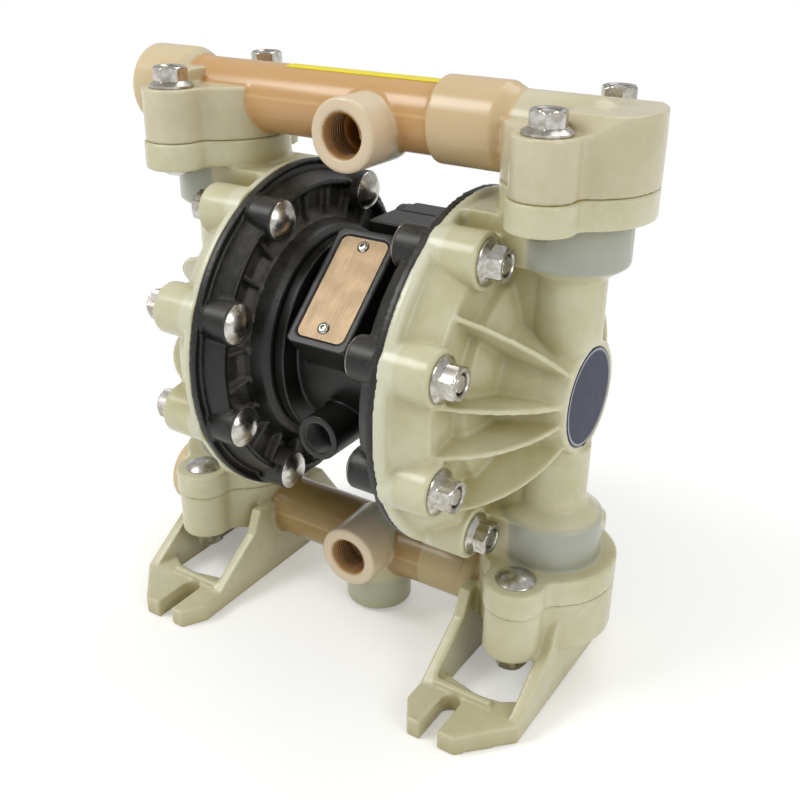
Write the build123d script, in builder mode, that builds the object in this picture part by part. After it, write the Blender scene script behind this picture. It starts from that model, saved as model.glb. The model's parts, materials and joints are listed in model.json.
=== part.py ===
"""Air operated double diaphragm pump with 1/2 in fluid ports, in a plastic body.

Units are millimetres. The origin lies on the floor plane under the middle of the pump.
+X runs along the diaphragm shaft to the right, -Y is the front with the ports, +Z is up.
Heights named in this file are measured from the shaft axis, which lies AXIS_Z above the floor.
"""
import os
from math import cos, radians, sin, sqrt

from build123d import *

# ---------------------------------------------------------------- driving sizes
AXIS_Z = 160.0             # height of the shaft axis above the floor

# clamped joint between each air cover and its fluid cover
JOINT_X = 54.0             # joint face, measured from the middle of the pump
RIM_R = 92.0               # outer radius of both cover rims
BOLT_CIRCLE_R = 80.0
BOLT_ANGLES = (20.5, 62.0)  # bolts above and below the horizontal, front and back
BOSS_R = 13.5              # round bosses of the fluid cover, under the nuts
AIR_BOSS_R = 10.8          # round bosses of the air cover, under the bolt heads
AIR_BOSS_X = 35.5          # face of the air cover boss, under the bolt head
FLUID_BOSS_X = 79.4        # face of the fluid cover boss, under the nut

# centre housing
HOUSING_HALF = 30.0        # half width between the air covers
HOUSING_R = 56.0           # end flanges of the housing
HOUSING_BODY_R = 45.0
FLANGE_T = 6.0
GASKET_T = 1.0

# fluid side
TUBE_X = 103.5             # vertical fluid tube in front of each diaphragm chamber
TUBE_R = 17.0
TUBE_BORE_R = 13.5
NECK_R = 26.5              # wide neck that holds the seat
NECK_LOW = 66.0
NECK_TOP = 89.0
PORT_TOP = 103.0           # face of the port flange
PORT_R = 35.5
EAR_Y = 37.6               # manifold bolts in front of and behind the tube
EAR_R = 16.0
BADGE_BOSS_R = 28.5
BADGE_BOSS_X = 118.0
BADGE_R = 25.0
BADGE_T = 1.2

# manifolds
PIPE_Z = 122.0
PIPE_R = 17.5
PIPE_BORE_R = 13.5
COLLAR_R = 20.5
END_COLLAR_R = 21.5
END_PORT_X = 149.0         # face of the end port, on the left
END_PORT_BORE_R = 13.2     # 3/4 in tapped end port
T_PORT_Y = 37.0            # face of the middle port, at the front
T_PORT_R = 17.5
T_PORT_DROP = 6.0          # middle port sits this much nearer the shaft than the pipe
T_PORT_BORE_R = 11.0       # 1/2 in tapped middle port
THREAD_DEPTH = 18.0
MANIFOLD_EAR_R = 15.0
EAR_TOP = 129.0            # top of the manifold ears
CROWN_TOP = 136.0          # top of the elbow's outer wall
LOW_EAR_END = 130.5        # bottom of the inlet manifold's ears
DOWN_PORT_R = 19.0
DOWN_PORT_Y = 4.5          # the down port stands this far to the front
DOWN_PORT_END = 157.5

# feet
LEG_T = 6.5
INNER_LEG_X = 68.0
OUTER_LEG_X = 125.0
LEG_FRONT_Y = 69.0
LEG_BACK_Y = 48.0
LUG_T = 11.0
LUG_FRONT_Y = 94.0
SLOT_X = 88.0
SLOT_W = 10.0
SLOT_END_Y = 67.0

# check valves
BALL_R = 11.1              # 7/8 in ball
BALL_LIFT = 6.0
SEAT_R = 19.5
SEAT_BORE_R = 8.7
SEAT_T = 9.0
CAGE_R = 15.5              # room round each ball
SEAT_CHAMFER = 2.0

# diaphragms and shaft
STROKE_HALF = 7.0
SHAFT_R = 8.0
DIAPHRAGM_R = 72.0
DIAPHRAGM_T = 4.0
DIAPHRAGM_RIM_IN = 63.0
PLATE_R = 30.0
FLUID_PLATE_R = 27.0
AIR_PLATE_T = 8.0
FLUID_PLATE_T = 5.0
PLATE_BOLT_R = 5.0
RUNNING_GAP = 0.06         # radial clearance of a running fit
LOOSE_GAP = 0.3            # clearance of a piece that only passes through or rests

# fasteners
BOLT_R = 5.0               # M10
BOLT_HOLE_R = 5.5
DOME_R = 10.3
DOME_H = 4.6
NUT_AF = 15.0
NUT_FLANGE_R = 11.2
NUT_H = 10.0
STUD_OUT = -0.8           # the bolt's end lies just inside its nut

# nameplate
PLATE_W = 27.4
PLATE_L = 57.8
PLATE_MID = 1.9            # middle of the plate, up its slope from the shaft
PLATE_T = 1.0
PLATE_PLANE = 56.0         # distance of the plate's face from the shaft axis
PLATE_TILT = 43.0          # its normal leans this far back from straight up

# exhaust port
EXHAUST_Z = -30.0
EXHAUST_Y = 61.0
EXHAUST_R = 12.0
EXHAUST_BORE_R = 8.6       # 3/8 in tapped exhaust port
EXHAUST_DEPTH = 20.0

# air valve, at the back
VALVE_FACE_Y = 46.0        # flat on the back of the housing that carries the valve
VALVE_BACK_Y = 72.0
VALVE_HALF_W = 24.0
VALVE_LOW = -28.0
VALVE_HIGH = 60.0
SPOOL_R = 9.0
SPOOL_TRAVEL = 6.0
INLET_BORE_R = 5.8         # 1/4 in tapped air inlet
PIN_R = 3.0
PIN_TRAVEL = 3.0
PIN_Z = 22.0               # pilot pins above the shaft

# height of a resting ball's centre above the top of its seat, and of its crown when lifted
BALL_REST = sqrt(BALL_R ** 2 - SEAT_BORE_R ** 2) - SEAT_CHAMFER + LOOSE_GAP
BALL_CROWN = BALL_REST + BALL_R + BALL_LIFT

os.makedirs("parts", exist_ok=True)


# ---------------------------------------------------------------- places
def across(x):
    """Plane square to the shaft at distance x; its own x runs along +Y and its y upwards."""
    return Plane(origin=(x, 0, AXIS_Z), x_dir=(0, 1, 0), z_dir=(1, 0, 0))


def level(z):
    """Horizontal plane at height z above the shaft axis."""
    return Plane.XY.offset(AXIS_Z + z)


def facing_front(y):
    """Upright plane at distance y in front of the shaft; its own x runs along +X."""
    return Plane(origin=(0, -y, AXIS_Z), x_dir=(1, 0, 0), z_dir=(0, -1, 0))


LENGTHWISE = facing_front(0)
SHAFT_AXIS = Axis((0, 0, AXIS_Z), (1, 0, 0))
COVER_BOLTS = [
    (side * BOLT_CIRCLE_R * cos(radians(a)), way * BOLT_CIRCLE_R * sin(radians(a)))
    for a in BOLT_ANGLES for side in (-1, 1) for way in (-1, 1)
]
PORT_BOLTS = [(TUBE_X, -EAR_Y), (TUBE_X, EAR_Y)]


def tube_axis(x=TUBE_X):
    return Axis((x, 0, AXIS_Z), (0, 0, 1))


def mirrored(part):
    return mirror(part, about=Plane.YZ)


def keep(part, name):
    """Label a finished piece and write its file."""
    part.label = name
    export_step(part, f"parts/{name}.step")


def keep_pair(part, name):
    """Write the right piece and its mirror image on the left."""
    keep(part, f"right_{name}")
    keep(mirrored(part), f"left_{name}")


def turned(points):
    """Solid of revolution about the shaft from points (x, radius)."""
    with BuildPart() as solid:
        with BuildSketch(LENGTHWISE):
            with BuildLine():
                Polyline(*points, close=True)
            make_face()
        revolve(axis=SHAFT_AXIS)
    return solid.part


def upright_turned(points, x):
    """Solid of revolution about an upright axis at x, from points (radius, height)."""
    with BuildPart() as solid:
        with BuildSketch(LENGTHWISE):
            with BuildLine():
                Polyline(*[(x + r, z) for r, z in points], close=True)
            make_face()
        revolve(axis=tube_axis(x))
    return solid.part


# ---------------------------------------------------------------- air cover
BEAD_R = DIAPHRAGM_R + LOOSE_GAP
HALF_T = DIAPHRAGM_T / 2
AIR_FLOOR_X = JOINT_X - HALF_T - AIR_PLATE_T - STROKE_HALF - 1.0   # floor of the air chamber
AIR_SEAT_X = HOUSING_HALF + GASKET_T                               # hub face on its gasket
HUB_HOLE_R = 10.0
RIB_T = 2.2


def air_cover():
    ring_r = BOLT_CIRCLE_R + 6
    lip_r = RIM_R - 2
    with BuildPart() as cover:
        add(turned([
            (AIR_SEAT_X, 0), (AIR_SEAT_X, HOUSING_R + 1), (AIR_SEAT_X + 3, HOUSING_R + 4),
            (JOINT_X - 10, HOUSING_R + 7), (JOINT_X - 7.5, HOUSING_R + 10),
            (JOINT_X - 7.5, ring_r - 8), (JOINT_X - 14, ring_r - 6.5), (JOINT_X - 14, ring_r - 4),
            (JOINT_X - 4, ring_r), (JOINT_X - 2, ring_r), (JOINT_X - 2, lip_r),
            (JOINT_X - 3.6, lip_r), (JOINT_X - 3.6, RIM_R), (JOINT_X, RIM_R), (JOINT_X, 0),
        ]))
        # bosses for the cover bolts
        with BuildSketch(across(AIR_BOSS_X)):
            with Locations(*COVER_BOLTS):
                Circle(AIR_BOSS_R)
        extrude(amount=JOINT_X - AIR_BOSS_X)
        # radial ribs in the pockets between hub and ring
        with BuildSketch(across(JOINT_X - 12.5)):
            with PolarLocations(0, 24, start_angle=7.5):
                with Locations((HOUSING_R + 15, 0)):
                    Rectangle(24, RIB_T)
        extrude(amount=6)
        # air chamber, with the seat of the diaphragm's bead
        add(turned([
            (AIR_FLOOR_X, 0), (AIR_FLOOR_X, PLATE_R + 3), (JOINT_X - 5, DIAPHRAGM_RIM_IN - 1),
            (JOINT_X - HALF_T, DIAPHRAGM_RIM_IN), (JOINT_X - HALF_T, BEAD_R), (JOINT_X + 1, BEAD_R),
            (JOINT_X + 1, 0),
        ]), mode=Mode.SUBTRACT)
        with BuildSketch(across(AIR_SEAT_X - 1)):
            Circle(HUB_HOLE_R)
        extrude(amount=JOINT_X, mode=Mode.SUBTRACT)
        # bolt holes
        with BuildSketch(across(AIR_BOSS_X - 1)):
            with Locations(*COVER_BOLTS):
                Circle(BOLT_HOLE_R)
        extrude(amount=JOINT_X, mode=Mode.SUBTRACT)
        # way through for the pilot pin, and the screws that hold the cover to the housing
        with BuildSketch(across(AIR_SEAT_X - 1)):
            with Locations((0, PIN_Z)):
                Circle(PIN_R + LOOSE_GAP)
            with Locations(*HUB_SCREWS):
                Circle(HUB_SCREW_R + LOOSE_GAP)
        extrude(amount=JOINT_X, mode=Mode.SUBTRACT)
        with BuildSketch(across(AIR_FLOOR_X - HUB_HEAD_H - 0.2)):
            with Locations(*HUB_SCREWS):
                Circle(HUB_HEAD_R + LOOSE_GAP)
        extrude(amount=JOINT_X, mode=Mode.SUBTRACT)
    return cover.part


# ---------------------------------------------------------------- fluid cover
DRUM_X = 75.0              # flat top of the drum that the ribs stand on
DRUM_R = 77.0
FLUID_RIB_T = 2.6
FLUID_RIB_ANGLES = (10.0, 41.0)
WEB_HALF = 13.0
NECK_WEB_HALF = 25.0       # solid web between each neck and the cover's wall
NECK_WEB_X = JOINT_X + 4
SEAT_ROOM = SEAT_R + 0.2
STOP_T = 3.0


def port_flange(height, radius=PORT_R, ear=EAR_R, fillet_r=6.0):
    """Plan of the port flange: a round with an ear at the front and one at the back."""
    with BuildSketch(height) as plan:
        with Locations((TUBE_X, 0)):
            Circle(radius)
        with Locations(*PORT_BOLTS):
            Circle(ear)
        inner = [v for v in plan.vertices() if abs(v.Y) < EAR_Y + ear]
        fillet(inner, fillet_r)
    return plan.sketch


def fluid_cover():
    seat_in = PORT_TOP - SEAT_T
    with BuildPart() as cover:
        add(turned([
            (JOINT_X, 0), (JOINT_X, RIM_R), (JOINT_X + 3.2, RIM_R), (JOINT_X + 4.6, RIM_R - 0.9),
            (JOINT_X + 5.2, RIM_R - 3), (JOINT_X + 5.2, RIM_R - 5.5), (DRUM_X, DRUM_R),
            (DRUM_X, DRUM_R - 20), (DRUM_X + 5.5, DRUM_R - 22), (DRUM_X + 9.5, DRUM_R - 33),
            (DRUM_X + 13, DRUM_R - 48), (DRUM_X + 14, 0),
        ]))
        with BuildSketch(across(JOINT_X)):
            with Locations(*COVER_BOLTS):
                Circle(BOSS_R)
        extrude(amount=FLUID_BOSS_X - JOINT_X)
        # ribs
        for side in (0, 180):
            for a in FLUID_RIB_ANGLES:
                for s in (-1, 1):
                    ang = radians(side + s * a)
                    plane = Plane(origin=(0, 0, AXIS_Z), x_dir=(1, 0, 0),
                                  z_dir=(0, -sin(ang), cos(ang)))
                    with BuildSketch(plane):
                        with BuildLine():
                            out = Line((DRUM_X - 4, DRUM_R - 1), (DRUM_X, DRUM_R - 1))
                            ThreePointArc(out @ 1, (100, 58), (BADGE_BOSS_X - 1.5, BADGE_BOSS_R - 1.5))
                            Polyline((BADGE_BOSS_X - 1.5, BADGE_BOSS_R - 1.5), (100, 10),
                                     (DRUM_X - 4, 10), (DRUM_X - 4, DRUM_R - 1))
                        make_face()
                    extrude(amount=FLUID_RIB_T / 2, both=True)
        # web that carries the upright tube, and the tube itself
        with BuildSketch(level(-NECK_LOW)):
            with Locations(((TUBE_X + DRUM_X - 6) / 2, 0)):
                Rectangle(TUBE_X - DRUM_X + 6, 2 * WEB_HALF)
        extrude(amount=2 * NECK_LOW)
        with BuildSketch(level(-NECK_LOW - 1)):
            with Locations((TUBE_X, 0)):
                Circle(TUBE_R)
        extrude(amount=2 * NECK_LOW + 2)
        # boss of the badge
        add(turned([
            (DRUM_X + 8, 0), (DRUM_X + 8, BADGE_BOSS_R + 10), (BADGE_BOSS_X - 14, BADGE_BOSS_R + 1.5),
            (BADGE_BOSS_X - 0.8, BADGE_BOSS_R), (BADGE_BOSS_X, BADGE_BOSS_R - 0.8),
            (BADGE_BOSS_X, 0),
        ]))
        # the tube is flat behind the badge, and the badge has a shallow recess
        for face_x, radius in ((BADGE_BOSS_X, BADGE_BOSS_R - 0.8), (BADGE_BOSS_X - BADGE_T, BADGE_R + LOOSE_GAP)):
            with BuildSketch(across(face_x)):
                Circle(radius)
            extrude(amount=TUBE_R, mode=Mode.SUBTRACT)
        # necks and port flanges
        for way in (1, -1):
            add(upright_turned([
                (0, way * (NECK_LOW - 6)), (TUBE_R, way * (NECK_LOW - 6)), (NECK_R - 1, way * NECK_LOW),
                (NECK_R, way * (NECK_LOW + 1)), (NECK_R, way * (NECK_TOP + 1)), (0, way * (NECK_TOP + 1)),
            ], TUBE_X))
            with BuildSketch(level(way * NECK_LOW)):
                with Locations(((NECK_WEB_X + TUBE_X) / 2, 0)):
                    Rectangle(TUBE_X - NECK_WEB_X, 2 * NECK_WEB_HALF)
            extrude(amount=way * (NECK_TOP - NECK_LOW))
            add(port_flange(level(way * NECK_TOP)))
            extrude(amount=way * (PORT_TOP - NECK_TOP))
        # fluid chamber
        add(turned([
            (JOINT_X - 1, 0), (JOINT_X - 1, BEAD_R), (JOINT_X + HALF_T, BEAD_R),
            (JOINT_X + HALF_T, DIAPHRAGM_RIM_IN), (JOINT_X + 8, DIAPHRAGM_RIM_IN - 2),
            (DRUM_X - 5, DRUM_R - 26), (DRUM_X + 4, DRUM_R - 40), (DRUM_X + 8, DRUM_R - 56),
            (DRUM_X + 9, 0),
        ]), mode=Mode.SUBTRACT)
        with BuildSketch(across(DRUM_X)):
            Circle(TUBE_BORE_R - 1)
        extrude(amount=TUBE_X - DRUM_X, mode=Mode.SUBTRACT)
        # bore of the upright tube, with the recess of each seat and the inlet ball's cage
        add(upright_turned([
            (0, -PORT_TOP - 1), (SEAT_ROOM, -PORT_TOP - 1), (SEAT_ROOM, -seat_in),
            (CAGE_R, -seat_in), (CAGE_R, -NECK_LOW), (TUBE_BORE_R, 4 - NECK_LOW),
            (TUBE_BORE_R, NECK_LOW - 4), (CAGE_R, NECK_LOW), (CAGE_R, seat_in),
            (SEAT_ROOM, seat_in), (SEAT_ROOM, PORT_TOP + 1), (0, PORT_TOP + 1),
        ], TUBE_X), mode=Mode.SUBTRACT)
        # cross that stops the inlet ball
        ball_top = SEAT_T - PORT_TOP + BALL_CROWN
        with BuildSketch(level(ball_top + LOOSE_GAP)):
            with Locations((TUBE_X, 0)):
                Rectangle(2 * CAGE_R + 2, STOP_T)
                Rectangle(STOP_T, 2 * CAGE_R + 2)
        extrude(amount=STOP_T)
        # bolt holes
        with BuildSketch(across(JOINT_X - 1)):
            with Locations(*COVER_BOLTS):
                Circle(BOLT_HOLE_R)
        extrude(amount=FLUID_BOSS_X, mode=Mode.SUBTRACT)
        for way in (1, -1):
            with BuildSketch(level(way * (NECK_TOP - 1))):
                with Locations(*PORT_BOLTS):
                    Circle(BOLT_HOLE_R)
            extrude(amount=way * (PORT_TOP - NECK_TOP + 2), mode=Mode.SUBTRACT)
    return cover.part


# ---------------------------------------------------------------- manifolds
def cage_stop(z, height):
    """Two crossed bars over the room of an outlet ball, height tall from z up."""
    with BuildPart() as bars:
        with BuildSketch(level(z)):
            with Locations((TUBE_X, 0)):
                Rectangle(2 * CAGE_R + 2, STOP_T)
                Rectangle(STOP_T, 2 * CAGE_R + 2)
        extrude(amount=height)
    return bars.part


def manifold_tube(z, bore):
    """Pipe along X at height z with its collars and end dome; bore=True gives its inside."""
    end = TUBE_X + 6
    collar_from = 35 if z > 0 else PORT_R + 26      # the outlet pipe has the longer collar
    if bore:
        points = [
            (-END_PORT_X - 1, 0), (-END_PORT_X - 1, END_PORT_BORE_R),
            (THREAD_DEPTH - END_PORT_X, END_PORT_BORE_R), (THREAD_DEPTH - END_PORT_X + 3, PIPE_BORE_R - 1),
            (end, PIPE_BORE_R - 1), (end + PIPE_BORE_R - 1, 0),
        ]
    else:
        points = [
            (-END_PORT_X, 0), (-END_PORT_X, END_COLLAR_R - 1), (1 - END_PORT_X, END_COLLAR_R),
            (-PORT_R - 85.5, END_COLLAR_R), (-PORT_R - 76.5, PIPE_R),
            (collar_from - 1, PIPE_R), (collar_from, COLLAR_R),
            (PORT_R + 32, COLLAR_R), (PORT_R + 38, PIPE_R), (end, PIPE_R), (end, 0),
        ]
    with BuildPart() as tube:
        with BuildSketch(Plane(origin=(0, 0, AXIS_Z + z), x_dir=(1, 0, 0), z_dir=(0, -1, 0))):
            with BuildLine():
                Polyline(*points, close=True)
            make_face()
        revolve(axis=Axis((0, 0, AXIS_Z + z), (1, 0, 0)))
        if not bore:
            with Locations((end, 0, AXIS_Z + z)):
                Sphere(PIPE_R)
    return tube.part


def front_port(z):
    """Outside of the middle port, a round spigot that leaves the pipe to the front."""
    with BuildPart() as spigot:
        with BuildSketch(facing_front(0)):
            with Locations((0, z)):
                Circle(T_PORT_R)
        extrude(amount=T_PORT_Y)
        fillet(spigot.faces().sort_by(Axis.Y)[0].edges(), 1.5)
    return spigot.part


def front_port_bore(z):
    with BuildPart() as cut:
        with BuildSketch(facing_front(T_PORT_Y + 1)):
            with Locations((0, z)):
                Circle(T_PORT_BORE_R)
        extrude(amount=-THREAD_DEPTH - 1)
        with BuildSketch(facing_front(T_PORT_Y)):
            with Locations((0, z)):
                Circle(T_PORT_BORE_R - 2)
        extrude(amount=-T_PORT_Y)
    return cut.part


def elbow_block(way):
    """Elbow over (way 1) or under (way -1) the port flange, with its two bolt ears."""
    ear_end = EAR_TOP if way > 0 else LOW_EAR_END
    with BuildPart() as block:
        add(port_flange(level(way * PORT_TOP), PORT_R, MANIFOLD_EAR_R))
        extrude(amount=way * (ear_end - PORT_TOP))
    return block.part


def outlet_elbow():
    """Elbow block whose outer wall stands above the ears, with sloping ends."""
    rise = CROWN_TOP - EAR_TOP
    with BuildPart() as elbow:
        add(elbow_block(1))
        with BuildSketch(level(PORT_TOP + 2)):
            with Locations((TUBE_X, 0)):
                Circle(PORT_R - 0.2)
        extrude(amount=CROWN_TOP - PORT_TOP - 2)
        with BuildSketch(across(TUBE_X - PORT_R - 1)):
            with Locations((0, EAR_TOP + rise)):
                Rectangle(2 * PORT_R, 2 * rise)
        extrude(amount=PORT_R + 1, mode=Mode.SUBTRACT)
        for side in (-1, 1):
            with BuildSketch(across(TUBE_X - 1)):
                with BuildLine():
                    Polyline((side * (PORT_R - 5), EAR_TOP), (side * (PORT_R - 6 - rise), CROWN_TOP + 1),
                             (side * (PORT_R + 5), CROWN_TOP + 1), (side * (PORT_R + 5), EAR_TOP), close=True)
                make_face()
            extrude(amount=PORT_R + 5, mode=Mode.SUBTRACT)
    return elbow.part


def ball_room(z_low, z_high):
    with BuildPart() as room:
        with BuildSketch(level(z_low)):
            with Locations((TUBE_X, 0)):
                Circle(CAGE_R)
        extrude(amount=z_high - z_low)
    return room.part


def flange_room(way):
    """Space that the port flange of the fluid cover takes, cut from the manifold's collars."""
    with BuildPart() as room:
        add(port_flange(level(way * NECK_TOP)))
        extrude(amount=way * (PORT_TOP - NECK_TOP))
    return room.part


def ear_holes(z_low, z_high):
    with BuildPart() as holes:
        with BuildSketch(level(z_low)):
            with Locations(*PORT_BOLTS):
                Circle(BOLT_HOLE_R)
        extrude(amount=z_high - z_low)
    return holes.part


def outlet_manifold():
    ball_top = PORT_TOP + BALL_CROWN
    elbow = outlet_elbow()
    room = ball_room(PORT_TOP - 1, ball_top + 2)
    holes = ear_holes(PORT_TOP - 1, EAR_TOP + 1)
    stop = cage_stop(ball_top + LOOSE_GAP, STOP_T)
    flange = flange_room(1)
    with BuildPart() as manifold:
        add(manifold_tube(PIPE_Z, False))
        add(front_port(PIPE_Z - T_PORT_DROP))
        add(elbow)
        add(mirrored(elbow))
        add(manifold_tube(PIPE_Z, True), mode=Mode.SUBTRACT)
        add(front_port_bore(PIPE_Z - T_PORT_DROP), mode=Mode.SUBTRACT)
        # spot faces under the nuts
        with BuildSketch(level(EAR_TOP)):
            for side in (-1, 1):
                with Locations(*[(side * x, y) for x, y in PORT_BOLTS]):
                    Circle(NUT_FLANGE_R + LOOSE_GAP)
        extrude(amount=NUT_H + 1, mode=Mode.SUBTRACT)
        for piece in (room, holes, flange):
            add(piece, mode=Mode.SUBTRACT)
            add(mirrored(piece), mode=Mode.SUBTRACT)
        add(stop)
        add(mirrored(stop))
    return manifold.part


def leg(x_low, thickness):
    """Upright leg plate from the elbow to the floor; its front edge slopes down to the toe."""
    with BuildPart() as plate:
        with BuildSketch(across(x_low)):
            with BuildLine():
                Polyline(
                    (-30, -PORT_TOP - 10), (LEG_BACK_Y - 16, -PORT_TOP - 10),
                    (LEG_BACK_Y, -PORT_TOP - 32), (LEG_BACK_Y, -AXIS_Z), (-LEG_FRONT_Y, -AXIS_Z),
                    (-LEG_FRONT_Y, LUG_T - AXIS_Z), (-36, -LOW_EAR_END + 4), close=True)
            make_face()
        extrude(amount=thickness)
    return plate.part


def foot_lug():
    """Foot plate in front of the legs with two rounded prongs and an open slot."""
    prong_in = SLOT_X - SLOT_W / 2
    prong_out = SLOT_X + SLOT_W / 2
    with BuildPart() as lug:
        with BuildSketch(level(-AXIS_Z)):
            with BuildLine():
                Polyline(
                    (INNER_LEG_X, -50), (INNER_LEG_X, -LEG_FRONT_Y - 12),
                    (prong_in - 7, -LUG_FRONT_Y), (prong_in, -LUG_FRONT_Y),
                    (prong_out, -LUG_FRONT_Y), (prong_out + 9, -LUG_FRONT_Y),
                    (OUTER_LEG_X, -LEG_FRONT_Y), (OUTER_LEG_X, -50), (118, -52), (109.5, -58), (98, -60),
                    (80, -56), close=True)
            make_face()
            with Locations((SLOT_X, -LUG_FRONT_Y)):
                Rectangle(SLOT_W, 2 * (LUG_FRONT_Y - SLOT_END_Y - SLOT_W / 2), mode=Mode.SUBTRACT)
            with Locations((SLOT_X, -SLOT_END_Y - SLOT_W / 2)):
                Circle(SLOT_W / 2, mode=Mode.SUBTRACT)
        extrude(amount=LUG_T)
        # ridge behind the slot
        with BuildSketch(level(-AXIS_Z)):
            with Locations((SLOT_X + 3, 2.5 - SLOT_END_Y)):
                Rectangle(2 * SLOT_W + 12, 4)
        extrude(amount=LUG_T + 3)
    return lug.part


def foot_back():
    """Cross plate between the two leg plates at the back."""
    with BuildPart() as plate:
        with BuildSketch(facing_front(-LEG_BACK_Y)):
            with BuildLine():
                Polyline((INNER_LEG_X, -AXIS_Z), (OUTER_LEG_X, -AXIS_Z), (OUTER_LEG_X, -AXIS_Z + 14),
                         (INNER_LEG_X, -AXIS_Z + 14), close=True)
            make_face()
        extrude(amount=LEG_T)
    return plate.part


def leg_side(above):
    """Box over all of the legs, above or below the plane where foot and manifold are joined."""
    with BuildPart() as side:
        with BuildSketch(level(-LOW_EAR_END)):
            with Locations((TUBE_X, 0)):
                Rectangle(3 * PORT_R, 3 * LUG_FRONT_Y)
        extrude(amount=LOW_EAR_END if above else LOW_EAR_END - AXIS_Z - 1)
    return side.part


def foot():
    """Foot below its joint with the manifold: two legs, the slotted lug and the cross plate."""
    with BuildPart() as frame:
        for piece in (leg(INNER_LEG_X, LEG_T), leg(OUTER_LEG_X - LEG_T, LEG_T), foot_lug(), foot_back()):
            add(piece)
        add(leg_side(True), mode=Mode.SUBTRACT)
    return frame.part


def feet():
    """Both feet, cut to sit round the inlet pipe."""
    pipe = manifold_tube(-PIPE_Z, False)
    for name, frame in (("right_foot", foot()), ("left_foot", mirrored(foot()))):
        with BuildPart() as cut:
            add(frame)
            add(pipe, mode=Mode.SUBTRACT)
        keep(cut.part, name)


def leg_stubs():
    """Tops of the two legs, moulded with the elbow."""
    with BuildPart() as stubs:
        add(leg(INNER_LEG_X, LEG_T))
        add(leg(OUTER_LEG_X - LEG_T, LEG_T))
        add(leg_side(False), mode=Mode.SUBTRACT)
    return stubs.part


def inlet_manifold():
    room = ball_room(-PIPE_Z, 1 - PORT_TOP)
    holes = ear_holes(-LOW_EAR_END - 1, 1 - PORT_TOP)
    with BuildPart() as manifold:
        add(manifold_tube(-PIPE_Z, False))
        add(front_port(T_PORT_DROP - PIPE_Z))
        with BuildSketch(level(-PIPE_Z)):
            with Locations((0, -DOWN_PORT_Y)):
                Circle(DOWN_PORT_R)
        extrude(amount=PIPE_Z - DOWN_PORT_END)
        for piece in (elbow_block(-1), leg_stubs()):
            add(piece)
            add(mirrored(piece))
        add(manifold_tube(-PIPE_Z, True), mode=Mode.SUBTRACT)
        add(front_port_bore(T_PORT_DROP - PIPE_Z), mode=Mode.SUBTRACT)
        with BuildSketch(level(-DOWN_PORT_END - 1)):
            with Locations((0, -DOWN_PORT_Y)):
                Circle(T_PORT_BORE_R)
        extrude(amount=THREAD_DEPTH + 1, mode=Mode.SUBTRACT)
        for piece in (room, holes, flange_room(-1)):
            add(piece, mode=Mode.SUBTRACT)
            add(mirrored(piece), mode=Mode.SUBTRACT)
    return manifold.part


# ---------------------------------------------------------------- centre housing
BEARING_R = 12.0
BEARING_IN = 10.0          # inner face of each shaft bearing
SEAL_T = 4.0
PLATE_NORMAL = (0, -sin(radians(PLATE_TILT)), cos(radians(PLATE_TILT)))


def plate_plane(distance):
    """Plane square to the nameplate's normal, at this distance from the shaft axis."""
    origin = (0, PLATE_NORMAL[1] * distance, AXIS_Z + PLATE_NORMAL[2] * distance)
    return Plane(origin=origin, x_dir=(1, 0, 0), z_dir=PLATE_NORMAL)


PLATE_SCREWS = [(0, 26.2), (0, -20.8)]
BARREL_R = SPOOL_R + 4.5
SPOOL_Y = VALVE_FACE_Y + GASKET_T + BARREL_R
SPOOL_Z = 46.0
VALVE_SCREWS = [(x, z) for x in (-VALVE_HALF_W + 5, VALVE_HALF_W - 5)
                for z in (VALVE_LOW + 5, VALVE_HIGH - 40)]


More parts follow.
